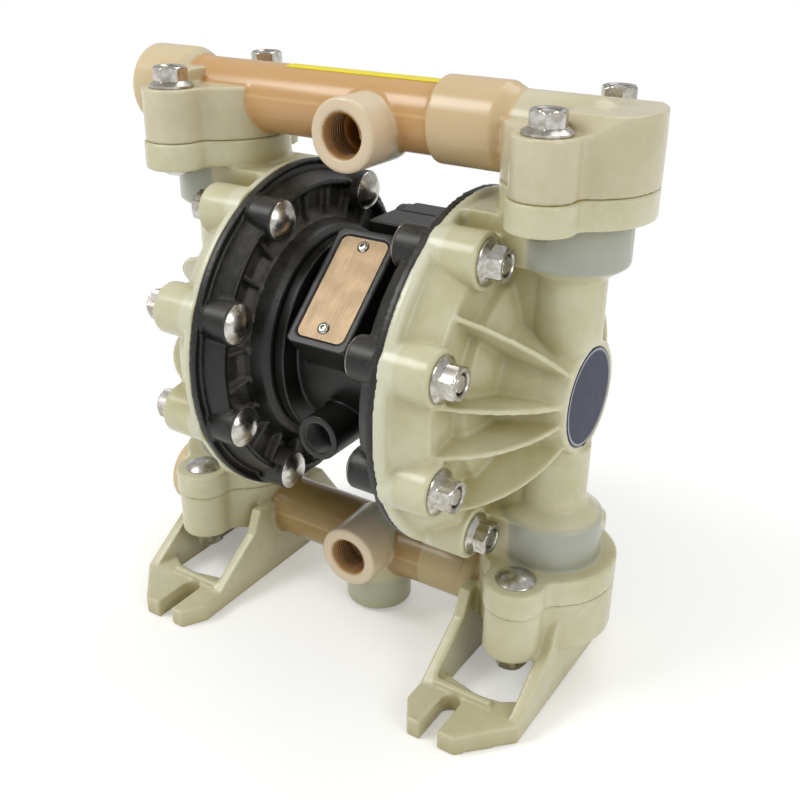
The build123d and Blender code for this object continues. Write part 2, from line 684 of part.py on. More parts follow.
def centre_housing():
    side = HOUSING_HALF - FLANGE_T
    with BuildPart() as housing:
        add(turned([
            (-HOUSING_HALF, 0), (-HOUSING_HALF, HOUSING_R), (-side, HOUSING_R), (-side, HOUSING_BODY_R),
            (side, HOUSING_BODY_R), (side, HOUSING_R), (HOUSING_HALF, HOUSING_R), (HOUSING_HALF, 0),
        ]))
        # pad of the nameplate, with its recess
        with BuildSketch(plate_plane(30)):
            with Locations((0, PLATE_MID)):
                RectangleRounded(PLATE_W + 9, PLATE_L + 9, 4)
        extrude(amount=PLATE_PLANE + 0.8 - 30)
        with BuildSketch(plate_plane(PLATE_PLANE - PLATE_T)):
            with Locations((0, PLATE_MID)):
                RectangleRounded(PLATE_W + 0.8, PLATE_L + 0.8, 4.1)
        extrude(amount=10, mode=Mode.SUBTRACT)
        with BuildSketch(plate_plane(PLATE_PLANE - PLATE_T)):
            with Locations(*PLATE_SCREWS):
                Circle(1.5)
        extrude(amount=-8, mode=Mode.SUBTRACT)
        # exhaust port
        with BuildSketch(facing_front(20)):
            with Locations((0, EXHAUST_Z)):
                Circle(EXHAUST_R)
        extrude(amount=EXHAUST_Y - 20)
        with BuildSketch(facing_front(EXHAUST_Y + 1)):
            with Locations((0, EXHAUST_Z)):
                Circle(EXHAUST_BORE_R)
        extrude(amount=-EXHAUST_DEPTH - 1, mode=Mode.SUBTRACT)
        # flat on the back for the air valve
        with BuildSketch(facing_front(-20)):
            with Locations((0, (VALVE_LOW + VALVE_HIGH) / 2)):
                Rectangle(2 * VALVE_HALF_W, VALVE_HIGH - VALVE_LOW)
        extrude(amount=20 - VALVE_FACE_Y)
        # shaft bore with bearing and seal seats
        with BuildSketch(across(-HOUSING_HALF - 1)):
            Circle(SHAFT_R + 1)
        extrude(amount=2 * HOUSING_HALF + 2, mode=Mode.SUBTRACT)
        for way in (-1, 1):
            with BuildSketch(across(way * BEARING_IN)):
                Circle(BEARING_R)
            extrude(amount=way * HOUSING_HALF, mode=Mode.SUBTRACT)
            with BuildSketch(across(way * (BEARING_IN + 1))):
                with Locations((0, PIN_Z)):
                    Circle(PIN_R + RUNNING_GAP)
            extrude(amount=way * HOUSING_HALF, mode=Mode.SUBTRACT)
            with BuildSketch(across(way * (HOUSING_HALF - 9))):
                with Locations(*HUB_SCREWS):
                    Circle(HUB_SCREW_R + SHANK_GAP)
            extrude(amount=way * HOUSING_HALF, mode=Mode.SUBTRACT)
        with BuildSketch(facing_front(-VALVE_FACE_Y - 1)):
            with Locations(*VALVE_SCREWS):
                Circle(2.0)
        extrude(amount=13, mode=Mode.SUBTRACT)
    return housing.part


# ---------------------------------------------------------------- air valve
def valve_body():
    with BuildPart() as body:
        with BuildSketch(facing_front(-VALVE_FACE_Y - GASKET_T)):
            with Locations((0, (VALVE_LOW + VALVE_HIGH) / 2)):
                RectangleRounded(2 * VALVE_HALF_W, VALVE_HIGH - VALVE_LOW, 4)
        extrude(amount=-(VALVE_BACK_Y - VALVE_FACE_Y - GASKET_T) + 6)
        with BuildSketch(across(-VALVE_HALF_W - 2)):
            with Locations((SPOOL_Y, SPOOL_Z)):
                Circle(BARREL_R)
        extrude(amount=2 * VALVE_HALF_W + 4)
        with BuildSketch(facing_front(-VALVE_FACE_Y - 8)):
            with Locations((0, 0)):
                Circle(11)
        extrude(amount=-(VALVE_BACK_Y - VALVE_FACE_Y - 8))
        with BuildSketch(across(-VALVE_HALF_W - 3)):
            with Locations((SPOOL_Y, SPOOL_Z)):
                Circle(SPOOL_R)
        extrude(amount=2 * VALVE_HALF_W + 6, mode=Mode.SUBTRACT)
        with BuildSketch(facing_front(-VALVE_BACK_Y - 1)):
            Circle(INLET_BORE_R)
        extrude(amount=15, mode=Mode.SUBTRACT)
        with BuildSketch(facing_front(-VALVE_FACE_Y + 1)):
            with Locations(*VALVE_SCREWS):
                Circle(2.3)
        extrude(amount=-40, mode=Mode.SUBTRACT)
    return body.part


# ---------------------------------------------------------------- fasteners
DOME_BALL = (DOME_R ** 2 + DOME_H ** 2) / (2 * DOME_H)     # radius of the domed head's ball
NUT_CHAMFER_R = 8.3
SHANK_GAP = 0.1


def upright_to(origin, direction):
    """Plane through a line from origin along direction: its own y runs along that line."""
    along = Vector(*direction).normalized()
    side = Vector(0, 1, 0) if abs(along.Y) < 0.5 else Vector(1, 0, 0)
    return Plane(origin=origin, x_dir=side, z_dir=side.cross(along))


def spun(points, origin, direction):
    """Solid of revolution about a line, from points (radius, distance along the line)."""
    with BuildPart() as solid:
        with BuildSketch(upright_to(origin, direction)):
            with BuildLine():
                Polyline(*points, close=True)
            make_face()
        revolve(axis=Axis(origin, direction))
    return solid.part


def carriage_bolt(origin, direction, length):
    """Bolt with a domed head that seats at origin and a shank that runs along direction."""
    mid_r = DOME_R * 0.7
    mid_h = DOME_BALL - DOME_H - sqrt(DOME_BALL ** 2 - mid_r ** 2)
    with BuildPart() as bolt:
        with BuildSketch(upright_to(origin, direction)):
            with BuildLine():
                ThreePointArc((0, -DOME_H), (mid_r, mid_h), (DOME_R, 0))
                Polyline((DOME_R, 0), (BOLT_R, 0), (BOLT_R, length - 1), (BOLT_R - 1, length),
                         (0, length), (0, -DOME_H))
            make_face()
        revolve(axis=Axis(origin, direction))
    return bolt.part


def flange_nut(origin, direction):
    """Hexagon nut with a round flange that seats at origin."""
    face = Plane(origin=origin, z_dir=direction)
    with BuildPart() as nut:
        with BuildSketch(face):
            RegularPolygon(NUT_AF / 2, 6, major_radius=False)
        extrude(amount=NUT_H)
        add(spun([(0, 0), (NUT_FLANGE_R, 0), (NUT_FLANGE_R, 3), (NUT_CHAMFER_R + 0.6, NUT_H - 1),
                  (NUT_AF / 2 - 0.3, NUT_H), (0, NUT_H)], origin, direction), mode=Mode.INTERSECT)
        add(spun([(0, 0), (NUT_FLANGE_R, 0), (NUT_FLANGE_R, 1.2), (NUT_CHAMFER_R, 3.2), (0, 3.2)],
                 origin, direction))
        with BuildSketch(face):
            Circle(BOLT_R + SHANK_GAP)
        extrude(amount=NUT_H, mode=Mode.SUBTRACT)
    return nut.part


def group(pieces):
    """Several separate solids kept as one node."""
    with BuildPart() as together:
        for piece in pieces:
            add(piece)
    return together.part


def cover_fasteners():
    length = FLUID_BOSS_X - AIR_BOSS_X + NUT_H + STUD_OUT
    bolts = [carriage_bolt((AIR_BOSS_X, y, AXIS_Z + z), (1, 0, 0), length) for y, z in COVER_BOLTS]
    nuts = [flange_nut((FLUID_BOSS_X, y, AXIS_Z + z), (1, 0, 0)) for y, z in COVER_BOLTS]
    keep_pair(group(bolts), "cover_bolts")
    keep_pair(group(nuts), "cover_nuts")


def manifold_fasteners(name, way, ear_end):
    """Bolts that clamp a manifold (way 1 above, -1 below) to the port flanges."""
    spots = [(s * x, y) for s in (-1, 1) for x, y in PORT_BOLTS]
    length = ear_end - NECK_TOP + NUT_H + STUD_OUT
    head_z = AXIS_Z + way * NECK_TOP
    nut_z = AXIS_Z + way * ear_end
    bolts = [carriage_bolt((x, y, head_z), (0, 0, way), length) for x, y in spots]
    nuts = [flange_nut((x, y, nut_z), (0, 0, way)) for x, y in spots]
    keep(group(bolts), f"{name}_manifold_bolts")
    keep(group(nuts), f"{name}_manifold_nuts")


def cap_screw(origin, direction, head_r, head_h, shank_r, length):
    """Socket screw: its head stands against direction, its shank runs along it."""
    socket = head_r * 0.45
    deep = head_h * 0.6
    return spun([(0, deep - head_h), (socket, deep - head_h), (socket, -head_h), (head_r, -head_h),
                 (head_r, 0), (shank_r, 0), (shank_r, length), (0, length)], origin, direction)


# ---------------------------------------------------------------- check valves
SEAL_RING_T = 1.6
SEAL_RING_IN = 17.4


def seat(z_low, seal_up):
    """Valve seat: a ring with a chamfer for the ball on top and a step for its seal."""
    seal_low = [(SEAT_BORE_R, 0), (SEAL_RING_IN, 0), (SEAL_RING_IN, SEAL_RING_T), (SEAT_R, SEAL_RING_T)]
    plain_low = [(SEAT_BORE_R, 0), (SEAT_R, 0)]
    seal_high = [(SEAT_R, SEAT_T - SEAL_RING_T), (SEAL_RING_IN, SEAT_T - SEAL_RING_T),
                 (SEAL_RING_IN, SEAT_T)]
    plain_high = [(SEAT_R, SEAT_T)]
    points = (plain_low + seal_high) if seal_up else (seal_low + plain_high)
    points += [(SEAT_BORE_R + SEAT_CHAMFER, SEAT_T), (SEAT_BORE_R, SEAT_T - SEAT_CHAMFER)]
    return spun(points, (TUBE_X, 0, AXIS_Z + z_low), (0, 0, 1))


def seal_ring(z_low):
    inner, outer = SEAL_RING_IN + SHANK_GAP, SEAT_R
    edge = 0.4
    return spun([(inner + edge, 0), (outer - edge, 0), (outer, edge), (outer, SEAL_RING_T - edge),
                 (outer - edge, SEAL_RING_T), (inner + edge, SEAL_RING_T),
                 (inner, SEAL_RING_T - edge), (inner, edge)],
                (TUBE_X, 0, AXIS_Z + z_low), (0, 0, 1))


def ball(z_seat):
    with BuildPart() as sphere:
        with Locations((TUBE_X, 0, AXIS_Z + z_seat + BALL_REST)):
            Sphere(BALL_R)
    return sphere.part


def check_valves():
    outlet_low = PORT_TOP - SEAT_T
    keep_pair(seat(outlet_low, True), "outlet_seat")
    keep_pair(seat(-PORT_TOP, False), "inlet_seat")
    keep_pair(ball(PORT_TOP), "outlet_ball")
    keep_pair(ball(SEAT_T - PORT_TOP), "inlet_ball")
    keep_pair(seal_ring(PORT_TOP - SEAL_RING_T), "outlet_seal")
    keep_pair(seal_ring(-PORT_TOP), "inlet_seal")


# ---------------------------------------------------------------- shaft and diaphragms
AIR_PLATE_X = JOINT_X - HALF_T - AIR_PLATE_T     # inner face of the air side plate
FLUID_PLATE_X = JOINT_X + HALF_T                 # inner face of the fluid side plate
BOLT_HEAD_T = 5.0
BOLT_GRIP = 12.0                                 # length of the plate bolt inside the shaft


def diaphragm():
    low, high = JOINT_X - HALF_T, JOINT_X + HALF_T
    roll_in, roll_out = PLATE_R + 2, DIAPHRAGM_RIM_IN - 3
    roll_mid = (roll_in + roll_out) / 2
    bulge = 6.0
    with BuildPart() as sheet:
        with BuildSketch(LENGTHWISE):
            with BuildLine():
                Polyline((low, roll_in), (low, PLATE_BOLT_R + LOOSE_GAP), (high, PLATE_BOLT_R + LOOSE_GAP),
                         (high, roll_in))
                ThreePointArc((high, roll_in), (high + bulge, roll_mid), (high, roll_out))
                Polyline((high, roll_out), (high, DIAPHRAGM_R), (low, DIAPHRAGM_R), (low, roll_out))
                ThreePointArc((low, roll_out), (low + bulge, roll_mid), (low, roll_in))
            make_face()
        revolve(axis=SHAFT_AXIS)
    return sheet.part


def shaft_assembly():
    bolt_hole = PLATE_BOLT_R + RUNNING_GAP
    deep = AIR_PLATE_X - BOLT_GRIP
    keep(turned([
        (-AIR_PLATE_X, bolt_hole), (-AIR_PLATE_X, SHAFT_R), (AIR_PLATE_X, SHAFT_R), (AIR_PLATE_X, bolt_hole),
        (deep, bolt_hole), (deep, 0), (-deep, 0), (-deep, bolt_hole),
    ]), "diaphragm_shaft")
    keep_pair(turned([
        (AIR_PLATE_X, bolt_hole), (AIR_PLATE_X, PLATE_R - 4), (AIR_PLATE_X + 2, PLATE_R - 1),
        (AIR_PLATE_X + 4, PLATE_R), (JOINT_X - HALF_T, PLATE_R), (JOINT_X - HALF_T, bolt_hole),
    ]), "air_side_plate")
    keep_pair(turned([
        (FLUID_PLATE_X, bolt_hole), (FLUID_PLATE_X, FLUID_PLATE_R), (FLUID_PLATE_X + 2, FLUID_PLATE_R),
        (FLUID_PLATE_X + FLUID_PLATE_T, FLUID_PLATE_R - 8), (FLUID_PLATE_X + FLUID_PLATE_T, bolt_hole),
    ]), "fluid_side_plate")
    head = FLUID_PLATE_X + FLUID_PLATE_T
    keep_pair(cap_screw((head, 0, AXIS_Z), (-1, 0, 0), NUT_AF / 2 + 1, BOLT_HEAD_T, PLATE_BOLT_R,
                        head - deep - 1), "plate_bolt")
    keep_pair(diaphragm(), "diaphragm")


# ---------------------------------------------------------------- small pieces of the air side
HUB_SCREWS = [(17.5 * a, 17.5 * b) for a in (-1, 1) for b in (-1, 1)]
HUB_SCREW_R = 2.5
HUB_HEAD_R = 4.2
HUB_HEAD_H = 2.3


def bearing():
    hole = SHAFT_R + RUNNING_GAP
    seal_x = HOUSING_HALF - SEAL_T
    outer = BEARING_R - RUNNING_GAP
    keep_pair(turned([(BEARING_IN, hole), (BEARING_IN, outer), (seal_x, outer), (seal_x, hole)]),
              "shaft_bearing")
    keep_pair(turned([(seal_x, hole), (seal_x, outer), (HOUSING_HALF, outer), (HOUSING_HALF, hole + 1),
                      (HOUSING_HALF - 2, hole)]), "shaft_seal")


def housing_gasket():
    with BuildPart() as gasket:
        with BuildSketch(across(HOUSING_HALF)):
            Circle(HOUSING_R - 2)
            Circle(BEARING_R + 1, mode=Mode.SUBTRACT)
            with Locations((0, PIN_Z)):
                Circle(PIN_R + LOOSE_GAP, mode=Mode.SUBTRACT)
            with Locations(*HUB_SCREWS):
                Circle(HUB_SCREW_R + LOOSE_GAP, mode=Mode.SUBTRACT)
        extrude(amount=GASKET_T)
    return gasket.part


def pilot_pin():
    """Pin that the air side plate pushes home at the end of its stroke."""
    tip = AIR_PLATE_X - STROKE_HALF - LOOSE_GAP
    return spun([(0, BEARING_IN + 5), (PIN_R - 0.8, BEARING_IN + 5), (PIN_R, BEARING_IN + 5.8),
                 (PIN_R, tip - 1), (PIN_R - 1, tip), (0, tip)], (0, 0, AXIS_Z + PIN_Z), (1, 0, 0))


def air_side_pieces():
    bearing()
    keep_pair(housing_gasket(), "housing_gasket")
    keep_pair(pilot_pin(), "pilot_pin")
    seat_x = AIR_FLOOR_X - HUB_HEAD_H - 0.2
    keep_pair(group([cap_screw((seat_x, y, AXIS_Z + z), (-1, 0, 0), HUB_HEAD_R, HUB_HEAD_H, HUB_SCREW_R,
                               12) for y, z in HUB_SCREWS]), "housing_screws")


def nameplate():
    with BuildPart() as plate:
        with BuildSketch(plate_plane(PLATE_PLANE - PLATE_T)):
            with Locations((0, PLATE_MID)):
                RectangleRounded(PLATE_W, PLATE_L, 3.7)
            with Locations(*PLATE_SCREWS):
                Circle(1.6, mode=Mode.SUBTRACT)
        extrude(amount=PLATE_T)
    keep(plate.part, "nameplate")
    face = plate_plane(PLATE_PLANE)
    inwards = (0, -PLATE_NORMAL[1], -PLATE_NORMAL[2])
    keep(group([cap_screw(tuple(face.from_local_coords(Vector(x, y, 0))), inwards, 2.8, 1.6, 1.45, 8)
                for x, y in PLATE_SCREWS]), "nameplate_screws")


def badge():
    return turned([(BADGE_BOSS_X - BADGE_T, 0), (BADGE_BOSS_X - BADGE_T, BADGE_R),
                   (BADGE_BOSS_X - 0.2, BADGE_R), (BADGE_BOSS_X, BADGE_R - 0.3), (BADGE_BOSS_X, 0)])


LABEL_T = 0.3
LABEL_FROM = -56.0
LABEL_TO = 34.0
LABEL_HALF_ANGLE = 17.0


def pipe_label():
    """Thin plain label on top of the outlet pipe."""
    outer = PIPE_R + LABEL_T
    a = radians(LABEL_HALF_ANGLE)
    with BuildPart() as label:
        with BuildSketch(across(LABEL_FROM)):
            with BuildLine():
                ThreePointArc((-outer * sin(a), PIPE_Z + outer * cos(a)), (0, PIPE_Z + outer),
                              (outer * sin(a), PIPE_Z + outer * cos(a)))
                Line((outer * sin(a), PIPE_Z + outer * cos(a)), (PIPE_R * sin(a), PIPE_Z + PIPE_R * cos(a)))
                ThreePointArc((PIPE_R * sin(a), PIPE_Z + PIPE_R * cos(a)), (0, PIPE_Z + PIPE_R),
                              (-PIPE_R * sin(a), PIPE_Z + PIPE_R * cos(a)))
                Line((-PIPE_R * sin(a), PIPE_Z + PIPE_R * cos(a)),
                     (-outer * sin(a), PIPE_Z + outer * cos(a)))
            make_face()
        extrude(amount=LABEL_TO - LABEL_FROM)
    return label.part


def air_valve():
    keep(valve_body(), "valve_body")
    with BuildPart() as gasket:
        with BuildSketch(facing_front(-VALVE_FACE_Y)):
            with Locations((0, (VALVE_LOW + VALVE_HIGH) / 2)):
                Rectangle(2 * VALVE_HALF_W - 2, VALVE_HIGH - VALVE_LOW - 2)
            with Locations(*VALVE_SCREWS):
                Circle(2.3, mode=Mode.SUBTRACT)
        extrude(amount=-GASKET_T)
    keep(gasket.part, "valve_gasket")
    head_y = VALVE_BACK_Y - 6
    keep(group([cap_screw((x, head_y, AXIS_Z + z), (0, -1, 0), 3.5, 3.5, 1.9, head_y - VALVE_FACE_Y + 10)
                for x, z in VALVE_SCREWS]), "valve_screws")
    cap_x = VALVE_HALF_W + 2
    axis_point = (0, SPOOL_Y, AXIS_Z + SPOOL_Z)
    half = cap_x - SPOOL_TRAVEL - LOOSE_GAP
    land, waist = SPOOL_R - RUNNING_GAP, SPOOL_R - 3
    keep(spun([(0, -half), (land, -half), (land, -half + 6), (waist, -half + 6), (waist, -4), (land, -4),
               (land, 4), (waist, 4), (waist, half - 6), (land, half - 6), (land, half), (0, half)],
              axis_point, (1, 0, 0)), "valve_spool")
    keep_pair(spun([(0, cap_x), (BARREL_R - 0.5, cap_x), (BARREL_R - 0.5, cap_x + 2.5),
                    (BARREL_R - 1.5, cap_x + 3.5), (0, cap_x + 3.5)], axis_point, (1, 0, 0)), "valve_cap")


# ---------------------------------------------------------------- the whole pump
keep(centre_housing(), "centre_housing")
nameplate()
air_side_pieces()
air_valve()
keep_pair(air_cover(), "air_cover")
keep_pair(fluid_cover(), "fluid_cover")
keep_pair(badge(), "badge")
cover_fasteners()
shaft_assembly()
check_valves()
keep(outlet_manifold(), "outlet_manifold")
keep(inlet_manifold(), "inlet_manifold")
feet()
keep(pipe_label(), "pipe_label")
manifold_fasteners("outlet", 1, EAR_TOP)
manifold_fasteners("inlet", -1, LOW_EAR_END)
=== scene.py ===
# %% [markdown]
# An air operated double diaphragm pump.
# Two black air covers are bolted to two translucent plastic fluid covers, and a pipe above and below
# joins them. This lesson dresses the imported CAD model: it rounds the moulded parts, makes the
# fasteners and threads, and gives each piece the finish of its real material.

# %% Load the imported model
import json

from math import cos, pi, radians, sin

import bmesh
import bpy
from mathutils import Matrix, Vector


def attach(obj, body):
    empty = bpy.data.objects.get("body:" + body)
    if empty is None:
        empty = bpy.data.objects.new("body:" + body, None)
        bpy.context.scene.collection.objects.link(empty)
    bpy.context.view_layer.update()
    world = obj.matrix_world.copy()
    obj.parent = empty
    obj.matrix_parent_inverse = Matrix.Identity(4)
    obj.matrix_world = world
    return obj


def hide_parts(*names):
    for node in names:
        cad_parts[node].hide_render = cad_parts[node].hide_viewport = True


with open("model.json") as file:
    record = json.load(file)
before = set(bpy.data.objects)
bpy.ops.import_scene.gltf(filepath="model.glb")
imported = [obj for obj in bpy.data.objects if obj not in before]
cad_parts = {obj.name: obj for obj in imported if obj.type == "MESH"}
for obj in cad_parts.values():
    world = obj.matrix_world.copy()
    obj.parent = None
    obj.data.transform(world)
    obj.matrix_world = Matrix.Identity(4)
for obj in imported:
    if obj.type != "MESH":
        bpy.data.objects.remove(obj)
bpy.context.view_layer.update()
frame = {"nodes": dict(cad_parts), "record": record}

# %% [markdown]
# The real object is measured in millimetres and Blender works in metres, so sizes are written in
# millimetres and turned once. The shaft lies 160 mm above the floor, and everything round is
# measured from it.

# %% Sizes
MM = 0.001
SHAFT_Z = 160.0             # height of the shaft above the floor
PIPE_Z = 122.0              # from the shaft to the axis of either pipe
PORT_Z = 116.0              # from the shaft to the axis of either middle port
TUBE_X = 103.5              # from the middle to the axis of each cover's tube
BOLT_CIRCLE_R = 80.0        # the circle of the cover bolts
BOLT_ANGLES = (20.5, 62.0)  # degrees above the level of the shaft
AIR_FACE = 35.5             # boss faces under the heads of the cover bolts
FLUID_FACE = 79.4           # boss faces under the cover nuts
EAR_Y = 37.6                # the manifold bolts, before and behind the pipe
EAR_SEAT = 89.0             # faces under the heads of the manifold bolts, from the shaft
UPPER_EAR_TOP = 129.0       # faces under the manifold nuts, from the shaft
LOWER_EAR_END = 130.5
BOLT_STICKS_OUT = 9.2       # a bolt's length beyond the face under its nut
PLATE_TILT = 43.0           # degrees by which the nameplate leans back
PLATE_FROM_SHAFT = 56.0     # the nameplate's face, along its own normal
PLATE_SCREWS = (26.2, -20.8)    # along the slope of the nameplate
PORT_MOUTH = 36.2           # where the threads of the ports start, from the middle
END_MOUTH = 148.2
EXHAUST_MOUTH = 60.4
EXHAUST_Z = -30.0


def at(x, y, z):
    """A point in millimetres, with its height measured from the shaft, as a Blender vector."""
    return Vector((x, y, z + SHAFT_Z)) * MM


# %% [markdown]
# Colours are picked as they look on a screen, which is sRGB. Blender mixes light in linear values,
# so one function turns the one into the other.

# %% Colours and nodes
def linear(code, alpha=1.0):
    """A colour such as "D8B27E" as linear red, green, blue and alpha."""
    parts = [int(code[i:i + 2], 16) / 255 for i in (0, 2, 4)]
    return tuple(p / 12.92 if p <= 0.04045 else ((p + 0.055) / 1.055) ** 2.4 for p in parts) + (alpha,)


def add(tree, kind, inputs=None, **settings):
    """Adds a node, makes its settings, and fills its inputs with values or other nodes' outputs."""
    made = tree.nodes.new(kind)
    for name, value in settings.items():
        setattr(made, name, value)
    for name, value in (inputs or {}).items():
        if isinstance(value, bpy.types.NodeSocket):
            tree.links.new(value, made.inputs[name])
        else:
            made.inputs[name].default_value = value
    return made


def start_material(name, **shader_values):
    """A new material with a Principled shader; gives the material, its tree, shader and coordinates."""
    material = bpy.data.materials.new(name)
    material.use_nodes = True
    tree = material.node_tree
    tree.nodes.clear()
    shader = add(tree, "ShaderNodeBsdfPrincipled", shader_values)
    add(tree, "ShaderNodeOutputMaterial", {"Surface": shader.outputs["BSDF"]})
    where = add(tree, "ShaderNodeTexCoord").outputs["Object"]
    return material, tree, shader, where


# %% [markdown]
# Several finishes change from place to place on one moulding: the pipe is stained, its collars are
# not. Zones also lay painted shade and painted highlights. A place is a length in the piece's own
# coordinates, so a few small helpers measure lengths and give 1 inside a zone and 0 outside, with a
# soft edge of a millimetre or two.

# %% Zones
def lengths(tree, where):
    """Place along X and Y, and height above the shaft, as sockets in metres."""
    place = add(tree, "ShaderNodeSeparateXYZ", {"Vector": where})
    height = add(tree, "ShaderNodeMath", {0: place.outputs["Z"], 1: SHAFT_Z * MM}, operation="SUBTRACT")
    return place.outputs["X"], place.outputs["Y"], height.outputs[0]


def away(tree, a, b, a_at=0.0, b_at=0.0):
    """Distance from an axis that crosses the plane of lengths a and b at these millimetres."""
    flat = add(tree, "ShaderNodeCombineXYZ", {"X": a, "Y": b})
    centred = add(tree, "ShaderNodeVectorMath", {0: flat.outputs["Vector"], 1: (a_at * MM, b_at * MM, 0)},
                  operation="SUBTRACT")
    length = add(tree, "ShaderNodeVectorMath", {0: centred.outputs["Vector"]}, operation="LENGTH")
    return length.outputs["Value"]


def band(tree, value, low, high, soft=1.0):
    """1 where a length lies between low and high millimetres, fading over soft millimetres."""
    rise = add(tree, "ShaderNodeMapRange", {"Value": value, "From Min": (low - soft / 2) * MM,
                                            "From Max": (low + soft / 2) * MM})
    fall = add(tree, "ShaderNodeMapRange", {"Value": value, "From Min": (high + soft / 2) * MM,
                                            "From Max": (high - soft / 2) * MM})
    return add(tree, "ShaderNodeMath", {0: rise.outputs["Result"], 1: fall.outputs["Result"]},
               operation="MULTIPLY").outputs[0]


def both(tree, a, b):
    """1 only where both zones hold."""
    return add(tree, "ShaderNodeMath", {0: a, 1: b}, operation="MULTIPLY").outputs[0]


def over(tree, under, zone, colour, strength=1.0):
    """Lays a colour over another in a zone."""
    if strength < 1:
        zone = add(tree, "ShaderNodeMath", {0: zone, 1: strength}, operation="MULTIPLY").outputs[0]
    tone = add(tree, "ShaderNodeMix", {"Factor": zone}, data_type="RGBA")
    tone.inputs[7].default_value = linear(colour)
    tree.links.new(under, tone.inputs[6])
    return tone.outputs[2]


# %% [markdown]
# Natural polypropylene is the milky, waxy plastic of the fluid covers. Light goes a few millimetres
# into it and comes out again, so it needs subsurface scattering. Where ribs and walls meet, the
# colour is painted yellower and darker as painted shade: an ambient occlusion node that looks 14 mm
# round finds those corners. The colour also drifts over some 40 mm, and the face has the fine satin
# grain of the mould.

# %% Natural polypropylene
def polypropylene(name, light, deep, corner_shade, glow, zones=None):
    """Milky moulded polypropylene: light and deep drift, and the third colour is painted shade in its
    corners.
    """
    material, tree, shader, where = start_material(name, **{
        "Roughness": 0.24, "IOR": 1.49, "Subsurface Weight": glow,
        "Subsurface Radius": (1.0, 0.9, 0.6), "Subsurface Scale": 5 * MM,
    })
    # clouds 40 mm wide for the wall's thickness, and 6 mm flow marks inside them
    clouds = add(tree, "ShaderNodeTexNoise", {"Vector": where, "Scale": 1 / (40 * MM), "Detail": 3.0})
    flow = add(tree, "ShaderNodeTexNoise", {"Vector": where, "Scale": 1 / (6 * MM), "Detail": 5.0,
                                            "Roughness": 0.65, "Distortion": 0.6})
    drift = add(tree, "ShaderNodeMix", {"Factor": 0.25, "A": clouds.outputs["Fac"],
                                        "B": flow.outputs["Fac"]}, data_type="FLOAT")
    spread = add(tree, "ShaderNodeMapRange", {"Value": drift.outputs["Result"], "From Min": 0.35,
                                              "From Max": 0.65})
    tone = add(tree, "ShaderNodeMix", {"Factor": spread.outputs["Result"]}, data_type="RGBA")
    tone.inputs[6].default_value = linear(light)
    tone.inputs[7].default_value = linear(deep)
    colour = tone.outputs[2]
    if zones:
        colour = zones(tree, colour, *lengths(tree, where))
    # painted shade: the colour is made darker and yellower in corners that ambient occlusion finds
    room = add(tree, "ShaderNodeAmbientOcclusion", {"Distance": 14 * MM}, samples=6)
    corner = add(tree, "ShaderNodeMapRange", {"Value": room.outputs["AO"], "From Min": 0.95,
                                              "From Max": 0.25, "To Max": 0.75})
    shaded = add(tree, "ShaderNodeMix", {"Factor": corner.outputs["Result"]}, data_type="RGBA",
                 blend_type="MULTIPLY")
    tree.links.new(colour, shaded.inputs[6])
    shaded.inputs[7].default_value = linear(corner_shade)
    tree.links.new(shaded.outputs[2], shader.inputs["Base Color"])
    # satin grain of the mould, 0.8 mm across
    grain = add(tree, "ShaderNodeTexNoise", {"Vector": where, "Scale": 1 / (0.8 * MM), "Detail": 2.0})
    wave = add(tree, "ShaderNodeTexNoise", {"Vector": where, "Scale": 1 / (9 * MM), "Detail": 1.0})
    height = add(tree, "ShaderNodeMix", {"Factor": 0.75, "A": grain.outputs["Fac"],
                                         "B": wave.outputs["Fac"]}, data_type="FLOAT")
    bump = add(tree, "ShaderNodeBump", {"Strength": 0.25, "Distance": 0.15 * MM,
                                        "Height": height.outputs["Result"]})
    tree.links.new(bump.outputs["Normal"], shader.inputs["Normal"])
    return material


def cover_zones(tree, colour, x, y, z):
    """Painted shade greying the necks, where the clear tube shows the seat behind it, and a cool painted
    highlight round the outer edge.
    """
    side = add(tree, "ShaderNodeMath", {0: x}, operation="ABSOLUTE").outputs[0]
    level = add(tree, "ShaderNodeMath", {0: z}, operation="ABSOLUTE").outputs[0]
    # painted shade: grey on the tube's necks under the flange
    neck_shade = both(tree, band(tree, level, 66, 89.3, 3.0), band(tree, away(tree, side, y, TUBE_X), -1, 27.5))
    # painted highlight: a pale, cool band round the cover's outer edge
    rim_highlight = both(tree, band(tree, away(tree, y, z), 87, 99, 6.0), band(tree, side, 50, 62, 2.0))
    colour = over(tree, colour, rim_highlight, "E2E4D2", 0.45)
    return over(tree, colour, neck_shade, "A4A9A2", 0.8)


